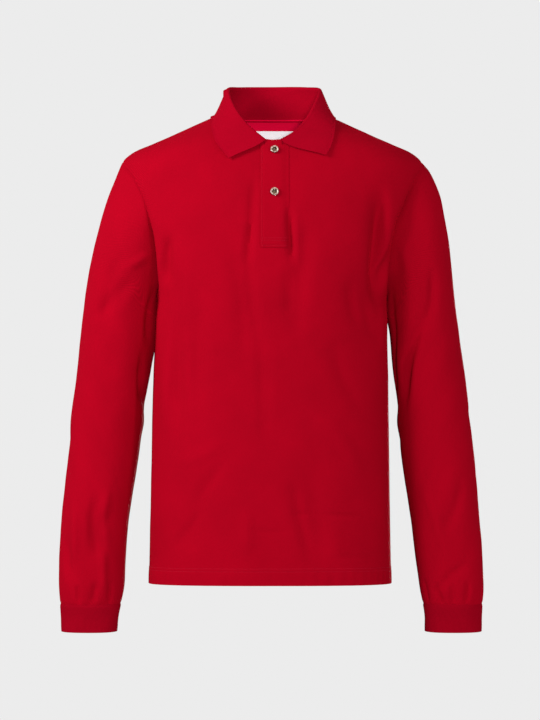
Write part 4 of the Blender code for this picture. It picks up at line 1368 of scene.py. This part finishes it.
    def cuff_grid(self, side: Side) -> tuple[Array, Array]:
        """A rib cuff: level rings that draw in a little below the seam, its top tucked inside the sleeve.

        The drop of each ring is its distance below the cuff's top; bells of it draw the cuff in, and a sine
        round the arm makes its edge uneven.

        Args:
            side: which sleeve's cuff.

        Returns:
            Points and the map in metres.
        """
        turn = self.turns()
        drop = np.concatenate([[0, 0.0004, 0.0012, 0.0024, 0.0042], np.linspace(0.007, 0.0375, 14)])
        drop = np.concatenate([drop, [0.0388, 0.0396, 0.04]])
        heights = (self.cuff_top - drop)[:, None]
        points = self.ring(side, heights, turn)
        normal = side.value * grid_normals(points, around=True)
        lift = -0.0012 * bell(drop, 0.002) - 0.0006 * bell(drop - 0.02, 0.012)
        lift = lift[:, None] + 0.0004 * np.sin(np.radians(turn) * 5 + 1) * np.sin(drop * 90)[:, None]
        points = points + normal * lift[..., None]
        upper = points[0] - normal[0] * 0.0008
        tucked = np.array([upper + [0, 0, 0.007], upper + [0, 0, 0.003]])
        points = np.concatenate([tucked, points])
        wide = np.concatenate([points, points[:, :1]], 1)
        return points, np.stack([run_along(wide, 1), run_along(wide, 0)], -1)

    def build(self) -> list[Object]:
        """Builds both sleeves and both cuffs."""
        made = []
        for side in Side:
            wearers = side.name.lower()
            for kind, (points, spread), finish, wall, slot in (
                ("sleeve", self.grid(side), self.finishes.pique, self.body.cloth, "red_pique"),
                ("cuff", self.cuff_grid(side), self.finishes.cuff, self.rib_wall, "red_rib"),
            ):
                name = f"{kind}_{wearers}"
                mesh = grid_mesh(f"{wearers}_{kind}", points, spread, around=True)
                piece = place_piece(mesh.name, mesh, finish)
                give_wall(piece, wall)
                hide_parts(name)
                made.append(piece)
        return made


@dataclass
class Collar:
    """The rib collar: a stand on the neckline, a rolled fold, and a leaf that falls to two points.

    Guides are (along, x, y, z) of the fold line and of the leaf's outer edge, along running from -1 at the
    wearer's right front end, round the back, to 1 at the left front end.
    """

    body: Body
    finishes: Materials
    wall: float = 0.0016
    columns: int = 190
    fold_radius: float = 0.0022
    end_radius: float = 0.0014
    end_share: float = 0.25
    lift: float = 0.0018
    clearance: float = 0.0024
    end_clearance: float = 0.0048
    neck_share: float = 0.42
    flat: tuple[float, float, float] = (0.5, 0.106, 0.045)
    fold: tuple[tuple[float, ...], ...] = (
        (-1.0, -0.0083, -0.0698, -0.042),
        (-0.87, -0.025, -0.06, -0.028),
        (-0.81, -0.0333, -0.054, -0.02),
        (-0.74, -0.0418, -0.046, -0.009),
        (-0.62, -0.0531, -0.031, 0.009),
        (-0.475, -0.0618, -0.008, 0.032),
        (-0.38, -0.0628, 0.011, 0.0416),
        (-0.22, -0.0467, 0.041, 0.047),
        (0.0, 0.0015, 0.058, 0.0495),
        (0.22, 0.0496, 0.041, 0.047),
        (0.375, 0.0688, 0.011, 0.041),
        (0.45, 0.0676, -0.005, 0.0335),
        (0.56, 0.0616, -0.024, 0.017),
        (0.67, 0.0538, -0.0385, 0.0),
        (0.79, 0.0403, -0.052, -0.0195),
        (0.86, 0.0311, -0.059, -0.0285),
        (1.0, 0.0117, -0.0698, -0.0415),
    )
    edge: tuple[tuple[float, ...], ...] = (
        (-1.0, -0.0613, -0.0825, -0.069),
        (-0.87, -0.0745, -0.074, -0.052),
        (-0.81, -0.08, -0.067, -0.044),
        (-0.74, -0.0845, -0.054, -0.032),
        (-0.62, -0.088, -0.034, -0.016),
        (-0.475, -0.0866, 0.004, -0.0036),
        (-0.38, -0.085, 0.026, -0.006),
        (-0.22, -0.064, 0.06, -0.006),
        (0.0, 0.0015, 0.0745, -0.0065),
        (0.22, 0.067, 0.06, -0.006),
        (0.375, 0.0885, 0.026, -0.006),
        (0.45, 0.0912, 0.006, -0.0032),
        (0.56, 0.0918, -0.019, -0.006),
        (0.67, 0.0905, -0.041, -0.019),
        (0.79, 0.0865, -0.061, -0.042),
        (0.86, 0.083, -0.071, -0.052),
        (1.0, 0.0762, -0.0805, -0.064),
    )

    def neck_turn(self, x: float) -> float:
        """Degrees from the middle of the front at which the neckline is this far to the side."""
        return math.degrees(math.asin(abs(x) / self.body.neck_half_width))

    def clear_of_body(self, points: Array, clearance: Array) -> Array:
        """Pushes points straight out of the body form, in eight goes, until they clear it."""
        for _ in range(8):
            value, slope = self.body.outside(points), self.body.slope(points)
            steepness = np.linalg.norm(slope, axis=-1)
            short = np.maximum(clearance - value / steepness, 0)
            points = points + slope * (short / steepness)[..., None]
        return points

    def grid(self) -> tuple[Array, Array]:
        """The collar's surface: a cubic up the stand, a half circle over the fold, a cubic down the leaf.

        Returns:
            Points, rows from the neckline to the leaf's edge, and the map in metres.
        """
        body = self.body
        even = np.linspace(-1, 1, self.columns + 1)
        along = 0.7 * even + 0.3 * np.sin(even * math.pi / 2)
        fold, edge = smooth_curve(np.array(self.fold), along), smooth_curve(np.array(self.edge), along)
        ends = {-1: self.neck_turn(self.fold[0][1]), 1: self.neck_turn(self.fold[-1][1])}
        turn = np.zeros_like(along)
        for sign in (-1, 1):
            table = np.array([(0, 180), (self.neck_share, 90), (1, ends[sign])])
            half = sign * smooth_curve(table, np.abs(along))[..., 0]
            turn = np.where(along * sign >= 0, half, turn)
        neck_x, neck_height = body.neckline(turn)
        ahead = (np.abs(turn) < 90)[:, None]
        neck = np.where(
            ahead,
            body.panel_point(neck_x, neck_height, Face.FRONT),
            body.panel_point(neck_x, neck_height, Face.BACK),
        )
        neck[:, 2] += self.lift

        line = unit(np.gradient(fold, along, axis=0))
        fall = edge - fold
        fall = unit(fall - np.sum(fall * line, axis=-1, keepdims=True) * line)
        out = np.cross(line, fall)
        ease = np.minimum((1 - np.abs(along)) / self.end_share, 1)[:, None]
        radius = self.end_radius + (self.fold_radius - self.end_radius) * ease
        clearance = (self.end_clearance + (self.clearance - self.end_clearance) * ease)[:, 0]
        middle = fold + radius * fall
        inside, outside = middle - radius * out, middle + radius * out
        stand_reach = np.linalg.norm(inside - neck, axis=-1, keepdims=True)
        leaf_reach = np.linalg.norm(edge - outside, axis=-1, keepdims=True)
        up = np.linspace(0, 1, 17)[:-1, None, None]
        stand = bridge(neck, inside, inside - neck, -fall * stand_reach, up)
        angle = np.radians(np.linspace(-90, 90, 13))[:, None, None]
        roll = middle + radius * (np.sin(angle) * out - np.cos(angle) * fall)
        down = 1 - (1 - np.linspace(0, 1, 30)[1:, None, None]) ** 1.2
        leaf = self.clear_of_body(bridge(outside, edge, fall * leaf_reach, edge - outside, down), clearance)
        points = np.concatenate([stand, roll, leaf])

        across, rise = run_along(points, 1), run_along(points, 0)
        lift = 0.00035 * np.sin(across * 52 + 1.1) * np.sin(rise * 60)
        lift -= 0.00025 * bell(rise[-1] - rise - 0.0035, 0.0009)
        points = points + grid_normals(points) * lift[..., None]
        inward = np.where(
            ahead,
            body.panel_normal(neck_x, neck_height - 0.003, Face.FRONT),
            body.panel_normal(neck_x, neck_height - 0.003, Face.BACK),
        )
        tucked = np.array([points[0] - inward * 0.00145 - [0, 0, step] for step in (0.0055, 0.0028)])
        points = np.concatenate([tucked, points])
        return points, np.stack([run_along(points, 1), run_along(points, 0)], -1)

    def build(self) -> list[Object]:
        """Builds the collar."""
        points, spread = self.grid()
        mesh = grid_mesh("rib_collar", points, spread)
        piece = place_piece(mesh.name, mesh, self.finishes.rib)
        give_wall(piece, self.wall)
        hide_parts("collar")
        return [piece]


@dataclass
class Placket:
    """The two placket strips, their stitching and the lower buttonhole.

    The tongue is the part that stands up between the collar's ends, from its left to its right edge. Box
    lines are the heights above the bottom of the rows that box in the placket's foot. Hole is the
    buttonhole's middle. Button heights are those of the buttons' middles.
    """

    body: Body
    panels: Panels
    finishes: Materials
    middle: float = 0.0035
    width: float = 0.04
    top: float = -0.0426
    bottom: float = -0.1965
    strip_drop: float = 0.0022
    tongue: tuple[float, float] = (-0.01, 0.0134)
    tongue_bowl: float = 0.0012
    slant: float = 0.0004
    hole: tuple[float, float] = (0.0026, -0.1185)
    hole_half: tuple[float, float] = (0.0076, 0.0008)
    button_heights: tuple[float, float] = (-0.058, -0.1185)
    box_lines: tuple[float, ...] = (0.0025, 0.0095, 0.013)
    left_line: float = 0.0022
    right_line: float = 0.002
    line_length: float = 0.139
    groove_depth: float = 0.0003
    groove_width: float = 0.0008
    pucker: float = 0.00012
    under_margin: float = 0.002
    under_spread: float = 0.003
    under_drop: float = 0.001
    wall: float = 0.0015
    flat: dict[str, tuple[float, float, float]] = field(
        default_factory=lambda: {"top": (0.041, 0.157, 0.0061), "under": (0.037, 0.155, 0.0055)}
    )

    def out_of_panel(self, x: Array, height: Array, out: Array) -> Array:
        """Points off the dressed front panel: its creases lift what lies on it too."""
        rise = self.panels.rise(x, height, Face.FRONT) * (1 - bell(height - self.body.front_neck, 0.01))
        return self.body.on_panel(x, height, Face.FRONT, out + rise)

    def strip(self, out: float, margin: float, rise: float, spread: float, sewn: bool) -> tuple[Array, Array]:
        """A placket strip off the front panel.

        Its columns run straight up; its top follows the neckline under the collar and stands up as a tongue
        between the collar's ends, bowed like a bowl. Its sewn edges sink to the panel by a bell of their
        distance.

        Args:
            out: how far the strip's middle surface lies off the panel's.
            margin: how much narrower it is on each side.
            rise: the height of the tongue's top.
            spread: how much wider the tongue is on each side.
            sewn: whether it is the top strip, with stitch grooves and sunken edges.

        Returns:
            Points and the map in metres.
        """
        half = self.width / 2 - margin
        left, right = self.tongue[0] - spread, self.tongue[1] + spread
        start, end = self.middle - half, self.middle + half
        ease = np.sin(np.linspace(0, math.pi / 2, 17))
        x = np.concatenate(
            [
                start + (left - self.slant - start) * (1 - ease[::-1]),
                np.linspace(left, right, 17),
                right + self.slant + (end - right - self.slant) * ease,
            ]
        )
        turn = np.degrees(np.arcsin(np.abs(x) / self.body.neck_half_width))
        top = self.body.neckline(turn)[1] - self.strip_drop
        bowl = self.tongue_bowl * ((x - (left + right) / 2) / (right - left) * 2) ** 2
        top = np.where((x >= left) & (x <= right), rise + bowl, top)
        low = np.array([0, 0.004, 0.009, 0.016, 0.03, 0.037, 0.044, 0.056, 0.068, 0.076, 0.084, 0.1, 0.11])
        climb = np.concatenate([low, np.linspace(0.11, 1, 70)[1:]])[:, None]
        bottom = self.bottom + margin
        height = bottom + (top - bottom) * climb
        x = x + 0 * climb
        gap = np.full(x.shape, out)
        if sewn:
            to_right, to_left, to_bottom = end - x, x - start, height - bottom
            sunk = np.maximum(0.0017 * bell(to_right, 0.008), 0.0009 * bell(to_left, 0.003))
            gap = gap - np.maximum(sunk, 0.0015 * bell(to_bottom, 0.0045))
            gap -= self.groove_depth * bell(to_left - self.left_line, self.groove_width)
            for line in self.box_lines:
                gap -= self.groove_depth * bell(to_bottom - line, self.groove_width)
            wave = np.sin(height * 900 + 2 * np.sin(height * 130))
            gap += self.pucker * (wave * (bell(to_left, 0.004) + bell(to_right, 0.004)))
        points = self.out_of_panel(x, height, gap)
        return points, np.stack([x - self.middle, height - bottom], -1)

    def seam_line(self, name: str, x: Array, height: Array, stitch: Stitch) -> Object:
        """A row of stitches on the top strip.

        Args:
            name: the row's name.
            x: places along the row, to the right of the middle.
            height: their heights.
            stitch: the stitch it is sewn with.

        Returns:
            The row as one piece.
        """
        out = 1.5 * self.body.cloth + self.body.lay + 0.00022
        path = self.out_of_panel(x, height, np.full(x.shape, out))
        normals = self.body.panel_normal(x, height, Face.FRONT)
        mesh = stitch.along(name, path, normals)
        return place_piece(name, mesh, self.finishes.red_thread)

    def buttonhole(self) -> Object:
        """The lower buttonhole, whose end shows beside the button: beads of thread round a flat oval."""
        turn = np.linspace(0, math.tau, 200)
        x = self.hole[0] + self.hole_half[0] * np.cos(turn)
        height = self.hole[1] + self.hole_half[1] * np.sin(turn)
        bead = Stitch(length=0.0009, gap=0.0001, radius=0.00042)
        return self.seam_line("lower_buttonhole", x, height, bead)

    def build(self) -> list[Object]:
        """Builds both strips, the lines of stitching and the buttonhole that shows."""
        body = self.body
        out = body.cloth + body.lay
        under_top = self.top - self.under_drop
        made = []
        for kind, (points, spread) in (
            ("top", self.strip(out, 0, self.top, 0, True)),
            ("under", self.strip(-out, self.under_margin, under_top, self.under_spread, False)),
        ):
            name = f"{kind}_placket"
            piece = place_piece(name, grid_mesh(name, points, spread), self.finishes.pique)
            give_wall(piece, self.wall if kind == "top" else body.cloth)
            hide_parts(f"placket_{kind}")
            made.append(piece)
        left = self.middle - self.width / 2 + self.left_line
        right = self.middle + self.width / 2 - self.right_line
        share = np.linspace(0, 1, 120)
        climb = self.bottom + self.box_lines[0] + share * self.line_length
        seam = Stitch(length=0.0021, gap=0.0006, radius=0.00024)
        made.append(self.seam_line("placket_edge_stitches", left + 0 * share, climb, seam))
        x = left + (right - left) * share
        for number, line in enumerate(self.box_lines):
            height = self.bottom + line + 0 * x
            made.append(self.seam_line(f"placket_box_stitches_{number}", x, height, seam))
        made.append(self.buttonhole())
        return made


@dataclass
class Button:
    """A turned four-hole button: a dished face inside a rounded rim, sewn on with two crossed bars.

    Rim is the radius of its rounded edge. Sides and rings count the faces round the disc and along a thread.
    """

    body: Body
    finishes: Materials
    radius: float = 0.006
    thick: float = 0.0024
    dish_radius: float = 0.004
    dish_depth: float = 0.0007
    hole_radius: float = 0.00072
    hole_offset: float = 0.0013
    hole_depth: float = 0.0012
    rim: float = 0.0009
    sides: int = 120
    thread: float = 0.00021
    thread_gap: float = 0.00022
    thread_sides: int = 8
    thread_rings: int = 15

    def seat(self, x: float, height: float) -> tuple[Array, Array]:
        """Where the button sits on the placket.

        Args:
            x: its place to the right of the middle line.
            height: its height.

        Returns:
            The point under the button, and its three axes: to the right, up and out.
        """
        at = np.array(x), np.array(height)
        out = self.body.panel_normal(*at, Face.FRONT)
        right = unit(np.cross(np.array([0.0, 0.0, 1.0]), out))
        right = right * np.sign(right[0])
        place = self.body.on_panel(*at, Face.FRONT, 1.5 * self.body.cloth + 2 * self.body.lay)
        return place, np.stack([right, np.cross(out, right), out])

    def face_height(self, x: Array, y: Array) -> Array:
        """The face above the button's base.

        A flat rim with a rounded outer edge, a smooth step down to a shallow dish, and four holes: each a
        smooth step down by its depth, at the hole's radius from its centre.

        Args:
            x: distance to the right of the button's axis.
            y: distance above it.

        Returns:
            The height of the face there.
        """
        r = np.hypot(x, y)
        dish = 1 / (1 + np.exp((r - self.dish_radius) / 0.00012))
        height = self.thick - self.dish_depth * dish * (0.86 + 0.14 * (r / self.dish_radius) ** 2)
        edge = np.clip((r - (self.radius - self.rim)) / self.rim, 0, 1)
        height = height - self.rim * (1 - np.sqrt(1 - edge**2))
        for corner in range(4):
            angle = math.radians(45 + 90 * corner)
            gap = np.hypot(x - self.hole_offset * math.cos(angle), y - self.hole_offset * math.sin(angle))
            height = height - self.hole_depth / (1 + np.exp((gap - self.hole_radius) / 0.00004))
        return height

    def disc(self) -> Array:
        """The button in its own axes: rings out from the middle of the face, round the rim, and under.

        Two parameters: the ring's number, which sets radius and height, and the turn.
        """
        turn = np.arange(self.sides) * math.tau / self.sides
        flat = self.radius - self.rim
        inner = np.concatenate([np.linspace(0.00003, 0.0022, 44), np.linspace(0.0023, flat, 26)])
        rim = flat + self.rim * np.sin(np.linspace(0.1, 1, 9) * math.pi / 2)
        rings = np.concatenate([inner, rim])[:, None]
        x, y = rings * np.cos(turn), rings * np.sin(turn)
        top = np.stack([x, y, self.face_height(x, y)], -1)
        lower = np.array(
            [
                (self.radius, 0.001),
                (self.radius - 0.0004, 0.0003),
                (self.radius - 0.0012, 0.0),
                (0.00003, 0.0),
            ]
        )
        under = np.stack(
            [lower[:, :1] * np.cos(turn), lower[:, :1] * np.sin(turn), lower[:, 1:] + 0 * turn], -1
        )
        return np.concatenate([top, under])

    def bars(self) -> Array:
        """Sewing threads: two crossed pairs between opposite holes, each a tube along a sine arch."""
        t = np.linspace(0, 1, self.thread_rings)
        turn = np.arange(self.thread_sides) * math.tau / self.thread_sides
        tubes = []
        for pair in range(2):
            angle = math.radians(45 + 90 * pair)
            ahead = np.array([math.cos(angle), math.sin(angle), 0])
            aside = np.array([-ahead[1], ahead[0], 0])
            for shift in (-self.thread_gap, self.thread_gap):
                span = (2 * t - 1)[:, None] * self.hole_offset * 1.06
                rise = (0.00105 + 0.0002 * pair) * np.sin(np.pi * t) ** 0.45
                arch = self.thick - self.dish_depth - 0.0007 + rise
                path = span * ahead + shift * aside + arch[:, None] * np.array([0, 0, 1.0])
                line = unit(np.gradient(path, axis=0))
                up = unit(np.cross(line, aside))
                ring = aside * np.cos(turn)[:, None]
                tubes.append(
                    path[:, None]
                    + self.thread * (ring[None] + up[:, None] * np.sin(turn)[None, :, None])
                )
        return np.array(tubes)

    def build(self, name: str, node: str, x: float, height: float) -> list[Object]:
        """Builds a button and its threads.

        Args:
            name: the button's name.
            node: the CAD node it stands for.
            x: how far right of the middle it sits.
            height: the height of its middle.

        Returns:
            The button and its threads.
        """
        place, axes = self.seat(x, height)
        local = self.disc()
        wide = np.concatenate([local, local[:, :1]], 1)[..., :2]
        mesh = grid_mesh(name, place + local @ axes, wide, around=True)
        last = (len(local) - 1) * self.sides
        ends = [list(range(self.sides))[::-1], list(range(last, last + self.sides))]
        close_ends(mesh, ends)
        piece = place_piece(name, mesh, self.finishes.button)
        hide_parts(node)
        girth = np.linspace(0, 0.0017, self.thread_sides + 1)
        length = np.linspace(0, 0.003, self.thread_rings)
        spread = np.stack(np.meshgrid(girth, length), -1)
        last = (self.thread_rings - 1) * self.thread_sides
        ends = [list(range(self.thread_sides))[::-1], list(range(last, last + self.thread_sides))]
        parts = []
        for tube in self.bars():
            part = grid_mesh(name, place + tube @ axes, spread, around=True)
            close_ends(part, ends)
            parts.append(part)
        thread = join_meshes(f"{name}_thread", parts)
        return [piece, place_piece(thread.name, thread, self.finishes.pale_thread)]


def close_ends(mesh: Mesh, loops: list[list[int]]) -> None:
    """Adds a face across each end, so that a tube or disc is closed, and turns its faces outwards.

    Args:
        mesh: the open mesh.
        loops: the numbers of the vertices round each end, in order.
    """
    shape = bmesh.new()
    shape.from_mesh(mesh)
    shape.verts.ensure_lookup_table()
    for loop in loops:
        shape.faces.new([shape.verts[i] for i in loop])
    bmesh.ops.recalc_face_normals(shape, faces=shape.faces)
    for face in shape.faces:
        face.smooth = True
    shape.to_mesh(mesh)
    shape.free()


def join_meshes(name: str, parts: list[Mesh]) -> Mesh:
    """Puts several meshes with the same layers into one.

    Args:
        name: the joined mesh's name.
        parts: the meshes, which are then removed.

    Returns:
        The joined mesh.
    """
    shape = bmesh.new()
    for part in parts:
        shape.from_mesh(part)
    mesh = bpy.data.meshes.new(name)
    shape.to_mesh(mesh)
    shape.free()
    mesh.shade_smooth()
    for part in parts:
        bpy.data.meshes.remove(part)
    return mesh


@dataclass
class NeckInside:
    """What shows inside the back of the neck: the tape over the seam and the bare label below it."""

    body: Body
    finishes: Materials
    wall: float = 0.001
    tape_flat: tuple[float, float] = (0.22, 0.0165)
    tape_width: float = 0.015
    tape_reach: float = 66
    tape_rise: float = 0.0006
    label_width: float = 0.066
    label_drop: float = 0.034
    label_flat: tuple[float, float] = (0.066, 0.036)

    def tape(self) -> tuple[Array, Array]:
        """The tape: strips of the back panel's inside, along the neckline."""
        body = self.body
        turn = np.linspace(180 - self.tape_reach, 180 + self.tape_reach, 90)
        x, top = body.neckline(turn)
        drop = np.linspace(self.tape_width, -self.tape_rise, 14)[:, None]
        out = -(body.cloth / 2 + body.lay + self.wall)
        points = body.on_panel(x + 0 * drop, top - drop, Face.BACK, out + 0 * x)
        return points, np.stack([run_along(points, 1), run_along(points, 0)], -1)

    def label(self) -> tuple[Array, Array]:
        """The label: a rectangle on the back panel's inside, its lower edge lifted a little off the cloth."""
        body = self.body
        x = np.linspace(-self.label_width / 2, self.label_width / 2, 46)
        top = body.back_neck - self.tape_width - body.lay + 0.0016
        drop = np.linspace(self.label_drop + 0.0016, 0, 26)[:, None]
        out = -(body.cloth / 2 + body.lay + self.wall)
        out = out - 0.0012 * (drop / self.label_drop) ** 2 * (0.6 + 0.4 * np.cos(x * 90))
        points = body.on_panel(x + 0 * drop, top - drop + 0 * x, Face.BACK, out)
        return points, np.stack([x + 0 * drop, drop + 0 * x], -1)

    def build(self) -> list[Object]:
        """Builds the tape and the label."""
        tape, label = self.finishes.tape, self.finishes.label
        made = []
        for name, node, (points, spread), finish, slot, flat in (
            ("neckline_tape", "neck_tape", self.tape(), tape, "red_pique", self.tape_flat),
            ("bare_label", "neck_label", self.label(), label, "white_tape", self.label_flat),
        ):
            piece = place_piece(name, grid_mesh(name, points, spread), finish)
            give_wall(piece, self.wall)
            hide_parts(node)
            made.append(piece)
        return made


@dataclass(frozen=True)
class Studio:
    """A pale floor and sky, three distant lamps, a near softbox at the left, and the camera.

    The sky lights the shirt less than it shows behind it, as a lit backdrop does, and the floor is a light
    table: it shines by itself, so that no lamp leaves a pool of light on it.
    """

    backdrop: str = "#ECECEC"
    fill: float = 0.2
    floor_height: float = -1.25
    front_strength: float = 2.12
    far_angle: float = 8.0
    front_from: tuple[float, float, float] = (0.06, -1.0, -0.04)
    side_strength: float = 0.74
    side_from: tuple[float, float, float] = (1.0, -0.85, 0.0)
    back_strength: float = 1.5
    back_from: tuple[float, float, float] = (0.3, 1.0, 0.0)
    softbox_power: float = 35.0
    softbox_size: float = 0.7
    softbox_place: tuple[float, float, float] = (-1.45, -0.8, 0.5)
    softbox_aim: tuple[float, float, float] = (0.0, 0.0, -0.33)
    camera_place: tuple[float, float, float] = (-0.0029, -3.0, -0.354)
    lens: float = 68.8
    sensor: float = 24.0

    def sky(self) -> World:
        """A world that shows as the backdrop and lights as the fill."""
        sky = bpy.data.worlds.new("even white sky")
        sky.use_nodes = True
        tree = sky.node_tree
        tree.nodes.clear()
        ray = add_node(tree, "LightPath")
        shown = add_node(tree, "Background", {"Color": linear(self.backdrop)})
        light = add_node(tree, "Background", {"Color": (1, 1, 1, 1), "Strength": self.fill})
        mixed = add_node(
            tree, "MixShader", {0: ray.outputs["Is Camera Ray"], 1: light.outputs[0], 2: shown.outputs[0]}
        )
        add_node(tree, "OutputWorld", {"Surface": mixed.outputs[0]})
        return sky

    def floor(self) -> Object:
        """A wide light table as pale as the sky."""
        paint = bpy.data.materials.new("opal glass over lamps, polished")
        paint.use_nodes = True
        shader = paint.node_tree.nodes["Principled BSDF"]
        shader.inputs["Base Color"].default_value = (0, 0, 0, 1)
        shader.inputs["Roughness"].default_value = 1.0
        shader.inputs["Specular IOR Level"].default_value = 0.0
        shader.inputs["Emission Color"].default_value = (1, 1, 1, 1)
        shader.inputs["Emission Strength"].default_value = linear(self.backdrop)[0]
        mesh = bpy.data.meshes.new("floor")
        corners = [(-60, -60), (60, -60), (60, 60), (-60, 60)]
        mesh.from_pydata([(x, y, self.floor_height) for x, y in corners], [], [(0, 1, 2, 3)])
        mesh.materials.append(paint)
        floor = bpy.data.objects.new("floor", mesh)
        floor.visible_diffuse = floor.visible_glossy = floor.visible_shadow = False
        return floor

    def turned(self, name: str, lamp: Light, way: Array) -> Object:
        """A lamp turned so that it shines along `way`: tilted from straight down, then round Z."""
        made = bpy.data.objects.new(name, lamp)
        x, y, z = unit(way)
        made.rotation_euler = (math.acos(-z), 0.0, math.atan2(y, x) - math.pi / 2)
        return made

    def far_lamp(self, name: str, strength: float, place: tuple[float, float, float]) -> Object:
        """A distant lamp, soft enough to blur the collar's shadow."""
        lamp = bpy.data.lights.new(name, "SUN")
        lamp.energy = strength
        lamp.angle = math.radians(self.far_angle)
        return self.turned(name, lamp, -np.array(place))

    def softbox(self) -> Object:
        """A near softbox at the left, so that light falls off to the right and downwards."""
        lamp = bpy.data.lights.new("softbox", "AREA")
        lamp.energy = self.softbox_power
        lamp.size = self.softbox_size
        made = self.turned("softbox", lamp, np.array(self.softbox_aim) - np.array(self.softbox_place))
        made.location = self.softbox_place
        return made

    def camera(self) -> Object:
        """The photograph's camera: level, three metres in front, at the height of the shirt's middle."""
        lens = bpy.data.cameras.new("camera")
        lens.sensor_width = self.sensor
        lens.lens = self.lens
        camera = bpy.data.objects.new("camera", lens)
        camera.location = self.camera_place
        camera.rotation_euler = (math.pi / 2, 0, 0)
        return camera

    def build(self) -> None:
        """Makes the sky, the floor, the lamps and the camera, and shows colours as they are."""
        scene = bpy.context.scene
        scene.view_settings.view_transform = "Standard"
        scene.world = self.sky()
        camera = self.camera()
        front = self.far_lamp("front_lamp", self.front_strength, self.front_from)
        back = self.far_lamp("back_lamp", self.back_strength, self.back_from)
        side = self.far_lamp("side_lamp", self.side_strength, self.side_from)
        for thing in (self.floor(), front, back, side, self.softbox(), camera):
            scene.collection.objects.link(thing)
        scene.camera = camera


def main() -> None:
    """Builds the shirt's sub-assemblies in order."""
    logging.basicConfig(level=logging.INFO, format="%(message)s")
    body = Body()
    finishes = Materials(
        pique=PIQUE.material(),
        rib=RIB.material(),
        cuff=SHADED_CUFF_RIB.material(),
        tape=LIT_TAPE.material(),
        label=LABEL.material(),
        red_thread=RED_THREAD.material(),
        pale_thread=PALE_THREAD.material(),
        button=SHELL.material(),
    )
    Studio().build()
    panels = Panels(body, finishes)
    made = panels.build()
    made += Sleeves(body, finishes).build()
    made += Collar(body, finishes).build()
    placket = Placket(body, panels, finishes)
    made += placket.build()
    made += NeckInside(body, finishes).build()
    button = Button(body, finishes)
    for place, height in zip(("upper", "lower"), placket.button_heights):
        made += button.build(f"{place}_button", f"button_{place}", placket.middle, height)
    for piece in made:
        LOG.info("%s: %d faces", piece.name, len(piece.data.polygons))


if __name__ == "__main__":
    main()
